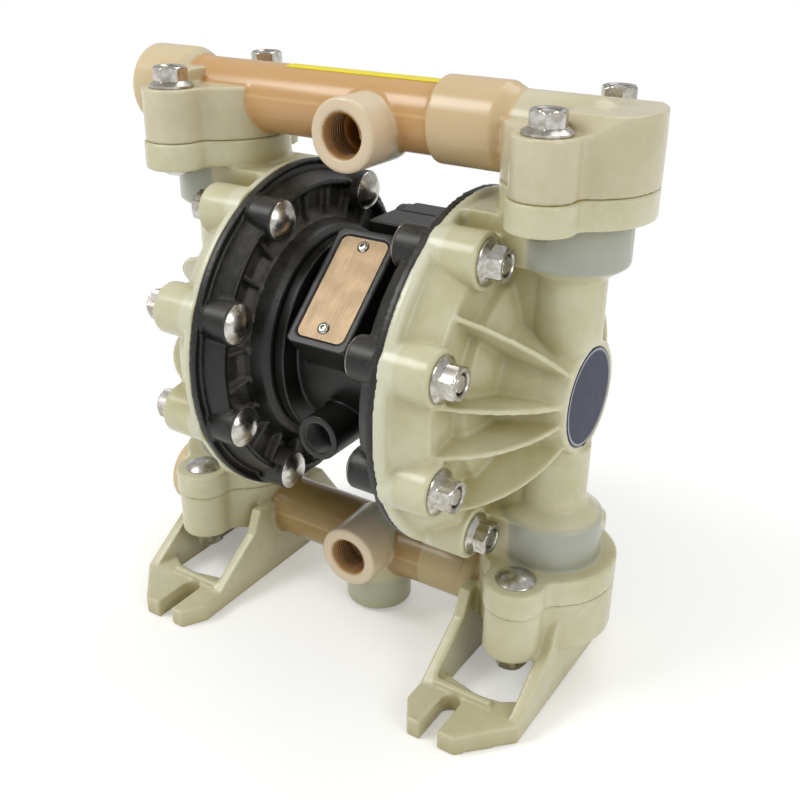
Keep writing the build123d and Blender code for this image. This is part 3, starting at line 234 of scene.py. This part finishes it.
def manifold_zones(way, stain, line, collar):
    """The zones of the upper (1) or lower (-1) manifold, with the colour of its stain."""
    def zones(tree, colour, x, y, z):
        round_pipe = away(tree, y, z, 0, way * PIPE_Z)
        pipe = both(tree, band(tree, x, -118, 34.5, 2.0), band(tree, round_pipe, -1, 18.6))
        ring = both(tree, band(tree, x, 34.5, 76, 2.0), band(tree, round_pipe, -1, 22))
        mouth = both(tree, band(tree, x, -170, -118, 3.0), band(tree, round_pipe, -1, 23))
        seam = both(tree, pipe, band(tree, z, way * PIPE_Z + 2.4, way * PIPE_Z + 3.6, 1.2))
        round_port = away(tree, x, z, 0, way * PORT_Z)
        port = both(tree, band(tree, round_port, -1, 18.6), band(tree, y, -40, -17.5, 2.0))
        # deep in the port's bore the colour is painted dark brown: the stain with painted shade over it
        deep = both(tree, band(tree, round_port, -1, 11.8), band(tree, y, -31, -8, 8.0))
        lined = both(tree, band(tree, round_port, -1, 11.8), band(tree, y, -36.3, -29, 1.0))
        colour = over(tree, colour, ring, collar, 0.75)
        colour = over(tree, colour, mouth, "DCC79E", 0.85)
        colour = over(tree, colour, pipe, stain, 0.92)
        colour = over(tree, colour, seam, line, 0.6)
        colour = over(tree, colour, port, "E2CDB0", 0.85)
        colour = over(tree, colour, lined, "DDBB90")
        colour = over(tree, colour, deep, "A8702C")
        if way < 0:
            round_spout = away(tree, x, y, 0, -4.5)
            spout = both(tree, band(tree, round_spout, -1, 20), band(tree, z, -160, -139, 3.0))
            colour = over(tree, colour, spout, "B9BCA4", 0.9)
        return colour
    return zones


natural_pp = polypropylene("natural_polypropylene", "DAD6BC", "C9C4A0", "CFC592", 0.3)
cover_pp = polypropylene("clear_polypropylene", "D9D6BA", "C5C19A", "D2C58C", 0.3, cover_zones)
outlet_pp = polypropylene("tinted_polypropylene", "D6CFB4", "C6BE9C", "D9C28C", 0.3,
                          manifold_zones(1, "CDA067", "E2C08C", "D3B484"))
inlet_pp = polypropylene("brown_tinted_polypropylene", "D6D2B4", "C3BF9A", "CFC08C", 0.3,
                         manifold_zones(-1, "A98A52", "C9AE7E", "B79B68"))
port_inside = polypropylene("stained_port_lining", "D6AE78", "A8752F", "8A5622", 0.2)
print("polypropylene finishes: 5")

# %% [markdown]
# The air side is black polypropylene with glass fibre. It is satin where it is clean, and grey dust
# lies in its pockets and on its scuffed edges. Dust is a second colour, laid on by a noise that is
# stronger where the surface faces up.

# %% Black polypropylene
def black_plastic(name, dust_share, pocket=None):
    """Black fibre-filled plastic with dust; pocket is a ring of radii in mm where dust gathers."""
    material, tree, shader, where = start_material(name, **{"Roughness": 0.42, "IOR": 1.5})
    clouds = add(tree, "ShaderNodeTexNoise", {"Vector": where, "Scale": 1 / (14 * MM), "Detail": 8.0,
                                              "Roughness": 0.72})
    scratch = add(tree, "ShaderNodeTexNoise", {"Vector": where, "Scale": 1 / (2.2 * MM), "Detail": 6.0,
                                               "Roughness": 0.8, "Distortion": 1.5})
    shape = add(tree, "ShaderNodeNewGeometry").outputs
    facing = add(tree, "ShaderNodeSeparateXYZ", {"Vector": shape["Normal"]})
    upward = add(tree, "ShaderNodeMapRange", {"Value": facing.outputs["Z"], "From Min": -0.3,
                                              "From Max": 1.0, "To Min": 0.25, "To Max": 1.0})
    amount = both(tree, both(tree, clouds.outputs["Fac"], scratch.outputs["Fac"]), upward.outputs["Result"])
    if pocket:
        x, y, z = lengths(tree, where)
        middle = (pocket[0] + pocket[1]) / 2 * MM
        half = (pocket[1] - pocket[0]) / 2 * MM
        inside = add(tree, "ShaderNodeMath", {0: away(tree, y, z), 1: middle, 2: half}, operation="COMPARE")
        more = add(tree, "ShaderNodeMath", {0: inside.outputs[0], 1: 1.5, 2: 1.0},
                   operation="MULTIPLY_ADD")
        amount = both(tree, amount, more.outputs[0])
    dust = add(tree, "ShaderNodeMapRange", {"Value": amount, "From Min": 0.14, "From Max": 0.60,
                                            "To Max": dust_share})
    tone = add(tree, "ShaderNodeMix", data_type="RGBA")
    tone.inputs[6].default_value = linear("1A1917")
    tone.inputs[7].default_value = linear("77736A")
    tree.links.new(dust.outputs["Result"], tone.inputs["Factor"])
    # edges that have been rubbed stand out pale; a dense skin knows how pointed it is at each point
    worn = add(tree, "ShaderNodeMapRange", {"Value": shape["Pointiness"], "From Min": 0.53,
                                            "From Max": 0.62, "To Max": 0.55})
    rubbed = both(tree, worn.outputs["Result"], scratch.outputs["Fac"])
    tree.links.new(over(tree, tone.outputs[2], rubbed, "9A9A96"), shader.inputs["Base Color"])
    rough = add(tree, "ShaderNodeMapRange", {"Value": dust.outputs["Result"], "To Min": 0.36,
                                             "To Max": 0.85})
    tree.links.new(rough.outputs["Result"], shader.inputs["Roughness"])
    fibre = add(tree, "ShaderNodeTexNoise", {"Vector": where, "Scale": 1 / (0.7 * MM), "Detail": 3.0})
    bump = add(tree, "ShaderNodeBump", {"Strength": 0.3, "Distance": 0.12 * MM,
                                        "Height": fibre.outputs["Fac"]})
    tree.links.new(bump.outputs["Normal"], shader.inputs["Normal"])
    return material


black_cover = black_plastic("black_polypropylene_dusty", 0.75, pocket=(62, 79))
black_body = black_plastic("black_polypropylene", 0.22)
print("black finishes: 2")

# %% [markdown]
# The bolts and nuts are zinc plated steel that has been handled for years: bright where tools and
# hands have rubbed it, duller in blotches a few millimetres wide, with fine turning marks.

# %% Zinc plated steel
def plated_steel(name, bright, dull):
    """Zinc plated steel with worn and dull blotches."""
    material, tree, shader, where = start_material(name, **{"Metallic": 1.0, "Roughness": 0.3})
    blotch = add(tree, "ShaderNodeTexNoise", {"Vector": where, "Scale": 1 / (5 * MM), "Detail": 6.0,
                                              "Roughness": 0.65})
    share = add(tree, "ShaderNodeMapRange", {"Value": blotch.outputs["Fac"], "From Min": 0.42,
                                             "From Max": 0.62})
    tone = add(tree, "ShaderNodeMix", data_type="RGBA")
    tone.inputs[6].default_value = linear(bright)
    tone.inputs[7].default_value = linear(dull)
    tree.links.new(share.outputs["Result"], tone.inputs["Factor"])
    tree.links.new(tone.outputs[2], shader.inputs["Base Color"])
    rough = add(tree, "ShaderNodeMapRange", {"Value": blotch.outputs["Fac"], "From Min": 0.35,
                                             "From Max": 0.65, "To Min": 0.18, "To Max": 0.34})
    tree.links.new(rough.outputs["Result"], shader.inputs["Roughness"])
    marks = add(tree, "ShaderNodeTexNoise", {"Vector": where, "Scale": 1 / (0.5 * MM), "Detail": 2.0})
    bump = add(tree, "ShaderNodeBump", {"Strength": 0.2, "Distance": 0.08 * MM,
                                        "Height": marks.outputs["Fac"]})
    tree.links.new(bump.outputs["Normal"], shader.inputs["Normal"])
    return material


zinc_steel = plated_steel("zinc_plated_steel", "D2D0CA", "ACA69A")

# %% [markdown]
# The small signs are bare here. The round badge is a navy film with a worn silver ring, the plate on
# the housing is brushed aluminium with a champagne lacquer, and the strip on the pipe is yellow film.

# %% Films and brushed plate
def printed_film(name, colour, worn, rough, zones=None):
    """A glossy printed film, a little faded in blotches."""
    material, tree, shader, where = start_material(name, **{"Roughness": rough, "IOR": 1.5,
                                                            "Specular IOR Level": 0.3})
    fade = add(tree, "ShaderNodeTexNoise", {"Vector": where, "Scale": 1 / (7 * MM), "Detail": 6.0,
                                            "Roughness": 0.7})
    share = add(tree, "ShaderNodeMapRange", {"Value": fade.outputs["Fac"], "From Min": 0.48,
                                             "From Max": 0.75})
    tone = add(tree, "ShaderNodeMix", data_type="RGBA")
    tone.inputs[6].default_value = linear(colour)
    tone.inputs[7].default_value = linear(worn)
    tree.links.new(share.outputs["Result"], tone.inputs["Factor"])
    ink = zones(tree, tone.outputs[2], *lengths(tree, where)) if zones else tone.outputs[2]
    tree.links.new(ink, shader.inputs["Base Color"])
    return material


def badge_zones(tree, colour, x, y, z):
    """A silver ring 1.2 mm wide just inside the badge's edge."""
    return over(tree, colour, band(tree, away(tree, y, z), 23.2, 24.4, 0.4), "A9ABB3", 0.85)


navy_film = printed_film("navy_film", "21243F", "343854", 0.45, badge_zones)
yellow_film = printed_film("yellow_film", "F0E01C", "DCC93A", 0.3)

brushed_plate, tree, shader, where = start_material("brushed_champagne_aluminium",
                                                    **{"Metallic": 0.7, "Roughness": 0.45})
drawn_out = add(tree, "ShaderNodeMapping", {"Vector": where, "Scale": (1 / (0.35 * MM), 60, 60)})
strokes = add(tree, "ShaderNodeTexNoise", {"Vector": drawn_out.outputs["Vector"],
                                           "Scale": 1.0, "Detail": 3.0})
stain = add(tree, "ShaderNodeTexNoise", {"Vector": where, "Scale": 1 / (9 * MM), "Detail": 6.0})
shade = add(tree, "ShaderNodeMix", {"Factor": 0.5, "A": strokes.outputs["Fac"],
                                    "B": stain.outputs["Fac"]}, data_type="FLOAT")
spread = add(tree, "ShaderNodeMapRange", {"Value": shade.outputs["Result"], "From Min": 0.35,
                                          "From Max": 0.65})
tone = add(tree, "ShaderNodeMix", data_type="RGBA")
tone.inputs[6].default_value = linear("B89E7C")
tone.inputs[7].default_value = linear("8F7C63")
tree.links.new(spread.outputs["Result"], tone.inputs["Factor"])
tree.links.new(tone.outputs[2], shader.inputs["Base Color"])
bump = add(tree, "ShaderNodeBump", {"Strength": 0.25, "Distance": 0.05 * MM,
                                    "Height": strokes.outputs["Fac"]})
tree.links.new(bump.outputs["Normal"], shader.inputs["Normal"])

# %% [markdown]
# Inside the pump are soft and slippery materials that only show when it is taken apart: nitrile
# rubber seals, a fluoropolymer diaphragm, acetal bearings and a hard plastic for seats and balls.
# They share one recipe, a plain plastic with a faint drift and grain.

# %% Inner materials
def plain_moulding(name, light, deep, rough, grain_mm):
    """Plain moulded or turned plastic or rubber."""
    material, tree, shader, where = start_material(name, **{"Roughness": rough, "IOR": 1.5})
    drift = add(tree, "ShaderNodeTexNoise", {"Vector": where, "Scale": 1 / (12 * MM), "Detail": 4.0})
    tone = add(tree, "ShaderNodeMix", data_type="RGBA")
    tone.inputs[6].default_value = linear(light)
    tone.inputs[7].default_value = linear(deep)
    tree.links.new(drift.outputs["Fac"], tone.inputs["Factor"])
    tree.links.new(tone.outputs[2], shader.inputs["Base Color"])
    grain = add(tree, "ShaderNodeTexNoise", {"Vector": where, "Scale": 1 / (grain_mm * MM)})
    bump = add(tree, "ShaderNodeBump", {"Strength": 0.25, "Distance": 0.06 * MM,
                                        "Height": grain.outputs["Fac"]})
    tree.links.new(bump.outputs["Normal"], shader.inputs["Normal"])
    return material


seal_rubber = plain_moulding("nitrile_rubber", "161616", "0D0D0D", 0.6, 0.5)
diaphragm_ptfe = plain_moulding("fluoropolymer", "E9E6DC", "D8D4C6", 0.4, 1.0)
acetal = plain_moulding("acetal", "EDEBE2", "DFDCD0", 0.35, 0.6)
seat_plastic = plain_moulding("grey_seat_plastic", "A9B2B8", "929CA3", 0.4, 0.6)
ball_rubber = plain_moulding("ball_elastomer", "5A6872", "4B5862", 0.5, 0.5)

BY_SLOT = {
    "clear_polypropylene": cover_pp, "stained_polypropylene": natural_pp, "zinc_steel": zinc_steel,
    "navy_badge": navy_film, "yellow_label": yellow_film, "brushed_plate": brushed_plate,
    "seat_polymer": seat_plastic, "ball_elastomer": ball_rubber, "seal_rubber": seal_rubber,
    "diaphragm_ptfe": diaphragm_ptfe, "acetal": acetal, "black_polypropylene": black_body,
}
SLOT_OF = {row["node"]: row["material_slot"] for row in frame["record"]["subparts"]}
BODY_OF = {n: body for body, names in frame["record"]["behaviour"]["bodies"].items() for n in names}
for name, piece in frame["nodes"].items():
    piece.data.materials.clear()
    piece.data.materials.append(BY_SLOT[SLOT_OF[name]])
print("CAD nodes given their finish:", len(frame["nodes"]))

# %% [markdown]
# Moulded plastic has no sharp edge: each one has the small radius of the tool. A skin of small
# quads over the whole solid, relaxed a little, gives every rib, boss and flange that radius at
# once. Beveling hundreds of crossing edges would be slower and fail where they meet.

# %% Moulded shells
def moulded(nodes, voxel, relax, material):
    """CAD solids in one skin with the soft edges of a moulding; it stands for these nodes."""
    node = nodes[0]
    mesh = frame["nodes"][node].data.copy()
    work = bmesh.new()
    for name in nodes:
        work.from_mesh(frame["nodes"][name].data)
    bmesh.ops.remove_doubles(work, verts=work.verts, dist=0.001 * MM)
    work.to_mesh(mesh)
    work.free()
    draft = bpy.data.objects.new(node + "_draft", mesh)
    bpy.context.scene.collection.objects.link(draft)
    skin = draft.modifiers.new("skin", "REMESH")
    skin.mode = "VOXEL"
    skin.voxel_size = voxel * MM
    soften = draft.modifiers.new("soften", "SMOOTH")
    soften.factor = 0.5
    soften.iterations = relax
    thin = draft.modifiers.new("thin", "DECIMATE")
    thin.ratio = 0.5
    ready = draft.evaluated_get(bpy.context.evaluated_depsgraph_get())
    final = bpy.data.meshes.new_from_object(ready)
    bpy.data.objects.remove(draft)
    final.materials.clear()
    final.materials.append(material)
    for face in final.polygons:
        face.use_smooth = True
        face.material_index = 0
    piece = bpy.data.objects.new(node + "_moulding", final)
    bpy.context.scene.collection.objects.link(piece)
    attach(piece, BODY_OF[node])
    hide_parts(*nodes)
    print(piece.name, "faces", len(final.polygons))


VOXEL = 0.95
SIDES = ("right", "left")
for side in SIDES:
    moulded([f"{side}_air_cover"], VOXEL * 0.9, 1, black_cover)
for side in SIDES:
    moulded([f"{side}_fluid_cover"], VOXEL, 2, cover_pp)
moulded(["outlet_manifold"], VOXEL, 3, outlet_pp)
moulded(["inlet_manifold", "right_foot", "left_foot"], VOXEL, 3, inlet_pp)
moulded(["centre_housing"], VOXEL * 0.8, 2, black_body)
moulded(["valve_body"], VOXEL * 0.8, 2, black_body)

# %% [markdown]
# Bolts and nuts are turned and pressed shapes. A lathe function lays rings of points along the
# bolt's axis; each ring's radius may depend on the angle, which gives the hexagon and the thread.
# Geometry Nodes then puts one at each hole, turned by a random amount, as a spanner leaves them.

# %% Lathe
def lathe(name, rings, count=48, tube=False):
    """A closed mesh from rings (height, radius) in mm; a radius may be a function of the angle."""
    mesh = bmesh.new()
    loops = []
    for height, radius in rings:
        angles = [2 * pi * i / count for i in range(count)]
        sizes = [radius(a) if callable(radius) else radius for a in angles]
        loops.append([mesh.verts.new((r * cos(a) * MM, r * sin(a) * MM, height * MM))
                      for a, r in zip(angles, sizes)])
    pairs = list(zip(loops, loops[1:])) + ([(loops[-1], loops[0])] if tube else [])
    for low, high in pairs:
        for i in range(count):
            j = (i + 1) % count
            mesh.faces.new((low[i], low[j], high[j], high[i]))
    if not tube:
        for loop, height in ((loops[0], rings[0][0]), (loops[-1], rings[-1][0])):
            pole = mesh.verts.new((0, 0, height * MM))
            for i in range(count):
                mesh.faces.new((loop[i], loop[(i + 1) % count], pole))
    bmesh.ops.recalc_face_normals(mesh, faces=mesh.faces)
    made = bpy.data.meshes.new(name)
    mesh.to_mesh(made)
    mesh.free()
    return made


def smooth_below(mesh, degrees):
    """Shades a mesh smooth where its faces meet at less than this angle."""
    for face in mesh.polygons:
        face.use_smooth = True
    work = bmesh.new()
    work.from_mesh(mesh)
    for edge in work.edges:
        edge.smooth = len(edge.link_faces) == 2 and edge.calc_face_angle(0) < radians(degrees)
    work.to_mesh(mesh)
    work.free()


# %% Nut and bolt shapes
NUT_FLAT = 7.5      # half the width across the nut's flats


def hexagon(angle):
    """Distance from the axis to the nut's flats at this angle."""
    return NUT_FLAT / cos((angle + pi / 6) % (pi / 3) - pi / 6)


def nut_ring(height):
    """Radius of the nut at this height: flange below, hexagon above, chamfer at the top."""
    flange = 11.1 - max(0.0, height - 1.2) * 1.55
    chamfer = 8.7 - max(0.0, height - 8.9) * 1.25
    return lambda angle: max(min(hexagon(angle), chamfer), flange)


nut_heights = [0.25, 1.2, 1.5, 1.9, 2.3, 2.7, 3.2, 8.9, 9.2, 9.6, 10.0]
nut_shape = lathe("flange_nut", [(0.0, 10.8)] + [(h, nut_ring(h)) for h in nut_heights]
                  + [(10.0, 5.8), (9.4, 5.1), (0.6, 5.1), (0.0, 5.8)], count=72, tube=True)
smooth_below(nut_shape, 28)


def thread(height, pitch=1.5):
    """Radius of an M10 thread at this height, as a function of the angle."""
    def radius(angle):
        turn = (height / pitch - angle / (2 * pi)) % 1.0
        return 4.35 + 1.1 * abs(turn - 0.5)
    return radius


HEAD_R, DOME_H, HEAD_H = 10.3, 4.3, 4.6      # a bolt head: radius, its dome and its whole height


def bolt_shape(name, length):
    """A carriage bolt: low dome with a rolled edge, shank, and a thread at its end."""
    ball = (HEAD_R ** 2 + DOME_H ** 2) / (2 * DOME_H)
    radii = (0.6, 2, 3.5, 5, 6.4, 7.6, 8.7, 9.4, 9.9)
    dome = [(ball - HEAD_H - (ball ** 2 - r ** 2) ** 0.5, r) for r in radii]
    rings = dome + [(-0.45, 10.2), (-0.2, HEAD_R), (0.0, 10.2), (0.0, 5.0), (length - 7, 4.9)]
    rings += [(length - 6.5 + 0.25 * i, thread(0.25 * i)) for i in range(23)]
    rings += [(length - 0.6, 4.3), (length, 3.7), (length, 0.5)]
    made = lathe(name, rings, count=60)
    smooth_below(made, 40)
    return made


# %% Fasteners at every hole
def fastener_tree():
    """Geometry Nodes: one fastener on each point, facing one way and turned at random about itself."""
    tree = bpy.data.node_groups.new("fasteners_at_holes", "GeometryNodeTree")
    sockets = (("Holes", "NodeSocketGeometry"), ("Fastener", "NodeSocketObject"),
               ("Facing", "NodeSocketVector"), ("Largest Turn", "NodeSocketFloat"),
               ("Seed", "NodeSocketInt"), ("Finish", "NodeSocketMaterial"))
    for name, kind in sockets:
        tree.interface.new_socket(name=name, in_out="INPUT", socket_type=kind)
    tree.interface.new_socket(name="Result", in_out="OUTPUT", socket_type="NodeSocketGeometry")
    given = add(tree, "NodeGroupInput").outputs
    one = add(tree, "GeometryNodeObjectInfo", {"Object": given["Fastener"], "As Instance": True})
    placed = add(tree, "GeometryNodeInstanceOnPoints", {"Points": given["Holes"],
                                                        "Instance": one.outputs["Geometry"]})
    faced = add(tree, "GeometryNodeRotateInstances", {"Instances": placed.outputs["Instances"],
                                                      "Rotation": given["Facing"], "Local Space": True})
    chance = add(tree, "FunctionNodeRandomValue", {"Seed": given["Seed"]}, data_type="FLOAT")
    turn = add(tree, "ShaderNodeMath", {0: chance.outputs[1], 1: given["Largest Turn"]},
               operation="MULTIPLY")
    about = add(tree, "ShaderNodeCombineXYZ", {"Z": turn.outputs[0]})
    turned = add(tree, "GeometryNodeRotateInstances", {"Instances": faced.outputs["Instances"],
                                                       "Rotation": about.outputs["Vector"],
                                                       "Local Space": True})
    real = add(tree, "GeometryNodeRealizeInstances", {"Geometry": turned.outputs["Instances"]})
    coated = add(tree, "GeometryNodeSetMaterial", {"Geometry": real.outputs["Geometry"],
                                                   "Material": given["Finish"]})
    add(tree, "NodeGroupOutput", {"Result": coated.outputs["Geometry"]})
    return tree


def run_tree(name, mesh, tree, values, body):
    """Runs a Geometry Nodes tree on a mesh and gives the result as a plain piece on that body."""
    draft = bpy.data.objects.new(name + "_draft", mesh)
    bpy.context.scene.collection.objects.link(draft)
    modifier = draft.modifiers.new("nodes", "NODES")
    modifier.node_group = tree
    for socket in tree.interface.items_tree:
        if socket.in_out == "INPUT" and socket.name in values:
            modifier[socket.identifier] = values[socket.name]
    final = bpy.data.meshes.new_from_object(draft.evaluated_get(bpy.context.evaluated_depsgraph_get()))
    draft.modifiers.remove(modifier)
    bpy.data.objects.remove(draft)
    piece = bpy.data.objects.new(name, final)
    bpy.context.scene.collection.objects.link(piece)
    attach(piece, body)
    print(name, "faces", len(final.polygons))
    return piece


place_fasteners = fastener_tree()


def fasteners(node, shape, holes, facing, seed):
    """The fasteners of one CAD node, made from one shape at the given holes in mm."""
    points = bpy.data.meshes.new(node + "_holes")
    points.from_pydata([at(*hole) for hole in holes], [], [])
    pattern = bpy.data.objects.new(shape.name + "_pattern", shape)
    bpy.context.scene.collection.objects.link(pattern)
    piece = run_tree(node + "_made", points, place_fasteners, {
        "Fastener": pattern, "Facing": facing, "Largest Turn": 2 * pi, "Seed": seed,
        "Finish": zinc_steel}, BODY_OF[node])
    bpy.data.objects.remove(pattern)
    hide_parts(node)


COVER_HOLES = [(s * BOLT_CIRCLE_R * cos(radians(a)), w * BOLT_CIRCLE_R * sin(radians(a)))
               for a in BOLT_ANGLES for s in (-1, 1) for w in (-1, 1)]
cover_bolt = bolt_shape("cover_bolt", FLUID_FACE - AIR_FACE + BOLT_STICKS_OUT)
for number, (side, way) in enumerate((("right", 1), ("left", -1))):
    outward = (0.0, way * pi / 2, 0.0)
    heads = [(way * AIR_FACE, y, z) for y, z in COVER_HOLES]
    nuts = [(way * FLUID_FACE, y, z) for y, z in COVER_HOLES]
    fasteners(f"{side}_cover_bolts", cover_bolt, heads, outward, number)
    fasteners(f"{side}_cover_nuts", nut_shape, nuts, outward, 7 + number)

EAR_HOLES = [(s * TUBE_X, w * EAR_Y) for s in (-1, 1) for w in (-1, 1)]
for name, way, ear in (("outlet", 1, UPPER_EAR_TOP), ("inlet", -1, LOWER_EAR_END)):
    upward = (0.0 if way > 0 else pi, 0.0, 0.0)
    bolt = bolt_shape(name + "_bolt", ear - EAR_SEAT + BOLT_STICKS_OUT)
    fasteners(f"{name}_manifold_bolts", bolt, [(x, y, way * EAR_SEAT) for x, y in EAR_HOLES], upward, 3)
    fasteners(f"{name}_manifold_nuts", nut_shape, [(x, y, way * ear) for x, y in EAR_HOLES], upward, 5)

# %% [markdown]
# The nameplate is held by two small button screws with a hexagon socket. The lathe makes them too:
# the rings run up over the button, then down into a socket whose radius follows a hexagon.

# %% Nameplate screws
def socket(angle):
    """Distance from the axis to the flats of a 2.6 mm hexagon socket at this angle."""
    return hexagon(angle) * 1.3 / NUT_FLAT


button = lathe("button_screw", [(0.0, 3.0), (0.25, 3.2), (0.7, 3.0), (1.2, 2.5), (1.45, 1.9),
                                (1.45, socket), (0.3, socket)])
smooth_below(button, 35)
tilt = radians(PLATE_TILT)
plate_holes = [(0, -PLATE_FROM_SHAFT * sin(tilt) + v * cos(tilt),
                PLATE_FROM_SHAFT * cos(tilt) + v * sin(tilt)) for v in PLATE_SCREWS]
fasteners("nameplate_screws", button, plate_holes, (tilt, 0.0, 0.0), 11)

# %% [markdown]
# The ports are tapped for pipes. A tapped thread is one ridge that winds along the bore, so Geometry
# Nodes makes a spiral curve of the real pitch and sweeps a small triangle along it.

# %% Pipe threads
def thread_tree():
    """Geometry Nodes: a triangular ridge that winds along a bore."""
    tree = bpy.data.node_groups.new("wound_thread", "GeometryNodeTree")
    for name, kind in (("Turns", "NodeSocketFloat"), ("Radius", "NodeSocketFloat"),
                       ("Length", "NodeSocketFloat"), ("Ridge", "NodeSocketFloat"),
                       ("Finish", "NodeSocketMaterial")):
        tree.interface.new_socket(name=name, in_out="INPUT", socket_type=kind)
    tree.interface.new_socket(name="Result", in_out="OUTPUT", socket_type="NodeSocketGeometry")
    given = add(tree, "NodeGroupInput").outputs
    spiral = add(tree, "GeometryNodeCurveSpiral", {"Resolution": 48, "Rotations": given["Turns"],
                                                   "Start Radius": given["Radius"],
                                                   "End Radius": given["Radius"],
                                                   "Height": given["Length"]})
    ridge = add(tree, "GeometryNodeCurvePrimitiveCircle", {"Resolution": 3, "Radius": given["Ridge"]})
    swept = add(tree, "GeometryNodeCurveToMesh", {"Curve": spiral.outputs["Curve"],
                                                  "Profile Curve": ridge.outputs["Curve"],
                                                  "Fill Caps": True})
    real = add(tree, "GeometryNodeRealizeInstances", {"Geometry": swept.outputs["Mesh"]})
    coated = add(tree, "GeometryNodeSetMaterial", {"Geometry": real.outputs["Geometry"],
                                                   "Material": given["Finish"]})
    add(tree, "NodeGroupOutput", {"Result": coated.outputs["Geometry"]})
    return tree


wind_thread = thread_tree()


def port_thread(name, mouth, outward, radius, depth, pitch, finish):
    """The wound ridge inside a port whose mouth lies at this point and faces outward; sizes in mm."""
    piece = run_tree(name, bpy.data.meshes.new(name + "_seed"), wind_thread, {
        "Turns": (depth - 1) / pitch, "Radius": radius * MM, "Length": (depth - 1) * MM,
        "Ridge": 0.8 * MM, "Finish": finish}, "body")
    turn = Vector((0, 0, -1)).rotation_difference(Vector(outward)).to_matrix().to_4x4()
    piece.data.transform(Matrix.Translation(at(*mouth)) @ turn)


for name, way in (("outlet", 1), ("inlet", -1)):
    port_thread(f"{name}_port_thread", (0, -PORT_MOUTH, way * PORT_Z), (0, -1, 0), 11.0, 17, 1.8,
                port_inside)
    port_thread(f"{name}_end_thread", (-END_MOUTH, 0, way * PIPE_Z), (-1, 0, 0), 13.2, 17, 1.8,
                port_inside)
port_thread("exhaust_thread", (0, -EXHAUST_MOUTH, EXHAUST_Z), (0, -1, 0), 8.6, 18, 1.4,
            black_body)

# %% [markdown]
# The object stands on a plain pale floor under soft light: a bright sky dome all round and one large
# lamp from the upper left. The camera looks down on the pump from its right front corner.

# %% Floor, light and camera
floor_mesh = bpy.data.meshes.new("floor")
floor_mesh.from_pydata([(-20, -20, 0), (20, -20, 0), (20, 20, 0), (-20, 20, 0)], [], [(0, 1, 2, 3)])
floor = bpy.data.objects.new("floor", floor_mesh)
bpy.context.scene.collection.objects.link(floor)
floor_paint = bpy.data.materials.new("pale_floor")
floor_paint.use_nodes = True
tree = floor_paint.node_tree
tree.nodes.clear()
matt = add(tree, "ShaderNodeBsdfDiffuse", {"Color": linear("F4F4F2")})
glow = add(tree, "ShaderNodeEmission", {"Color": (1, 1, 1, 1), "Strength": 0.25})
lit = add(tree, "ShaderNodeAddShader", {0: matt.outputs[0], 1: glow.outputs[0]})
ray = add(tree, "ShaderNodeLightPath").outputs
seen = add(tree, "ShaderNodeMath", {0: ray["Is Camera Ray"], 1: ray["Is Glossy Ray"]}, operation="MAXIMUM")
seen = add(tree, "ShaderNodeMath", {0: seen.outputs[0], 1: ray["Is Transmission Ray"]},
           operation="MAXIMUM")
shown = add(tree, "ShaderNodeMixShader", {0: seen.outputs[0], 1: matt.outputs[0], 2: lit.outputs[0]})
# beyond the object's shadow the floor turns into the plain white of the background
white = add(tree, "ShaderNodeEmission", {"Color": (1, 1, 1, 1), "Strength": 1.0})
place = add(tree, "ShaderNodeTexCoord").outputs["Object"]
spot = add(tree, "ShaderNodeVectorMath", {0: place}, operation="LENGTH")
far = add(tree, "ShaderNodeMapRange", {"Value": spot.outputs["Value"], "From Min": 0.16,
                                       "From Max": 0.42}, interpolation_type="SMOOTHSTEP")
far = add(tree, "ShaderNodeMath", {0: far.outputs["Result"], 1: seen.outputs[0]}, operation="MULTIPLY")
shown = add(tree, "ShaderNodeMixShader", {0: far.outputs[0], 1: shown.outputs[0], 2: white.outputs[0]})
add(tree, "ShaderNodeOutputMaterial", {"Surface": shown.outputs[0]})
floor_mesh.materials.append(floor_paint)

world = bpy.data.worlds.new("studio")
bpy.context.scene.world = world
world.use_nodes = True
tree = world.node_tree
tree.nodes.clear()
ray = add(tree, "ShaderNodeLightPath").outputs
dome = add(tree, "ShaderNodeBackground", {"Color": (1, 1, 1, 1), "Strength": 0.52})
white = add(tree, "ShaderNodeBackground", {"Color": (1, 1, 1, 1), "Strength": 1.0})
shown = add(tree, "ShaderNodeMixShader", {0: ray["Is Camera Ray"], 1: dome.outputs[0],
                                          2: white.outputs[0]})
add(tree, "ShaderNodeOutputWorld", {"Surface": shown.outputs[0]})


def softbox(name, place, power, size):
    """A square lamp that looks at the middle of the pump."""
    lamp = bpy.data.lights.new(name, "AREA")
    lamp.energy = power
    lamp.size = size
    made = bpy.data.objects.new(name, lamp)
    bpy.context.scene.collection.objects.link(made)
    made.location = place
    towards = Vector((0, 0, SHAFT_Z * MM)) - Vector(place)
    made.rotation_euler = towards.to_track_quat("-Z", "Y").to_euler()


softbox("key_lamp", (-0.9, -0.9, 1.5), 13, 0.7)
softbox("right_lamp", (1.4, -0.5, 0.9), 6, 0.8)
softbox("top_lamp", (0.1, 0.7, 1.4), 4, 0.8)

CAMERA_AT = (0.2773, -0.4204, 0.3697)     # metres
azimuth, elevation, roll = radians(32.41), radians(25.73), radians(0.597)
back = Vector((sin(azimuth) * cos(elevation), -cos(azimuth) * cos(elevation), sin(elevation)))
right = Vector((cos(azimuth), sin(azimuth), 0))
up = back.cross(right)
right, up = right * cos(roll) + up * sin(roll), up * cos(roll) - right * sin(roll)
camera = bpy.data.objects.new("camera", bpy.data.cameras.new("camera"))
camera.data.sensor_width = 36.0
camera.data.lens = 45.73
camera.data.clip_start = 0.01
turned = Matrix((right, up, back)).transposed().to_4x4()
camera.matrix_world = Matrix.Translation(CAMERA_AT) @ turned
bpy.context.scene.collection.objects.link(camera)
bpy.context.scene.camera = camera
bpy.context.scene.view_settings.view_transform = "Standard"
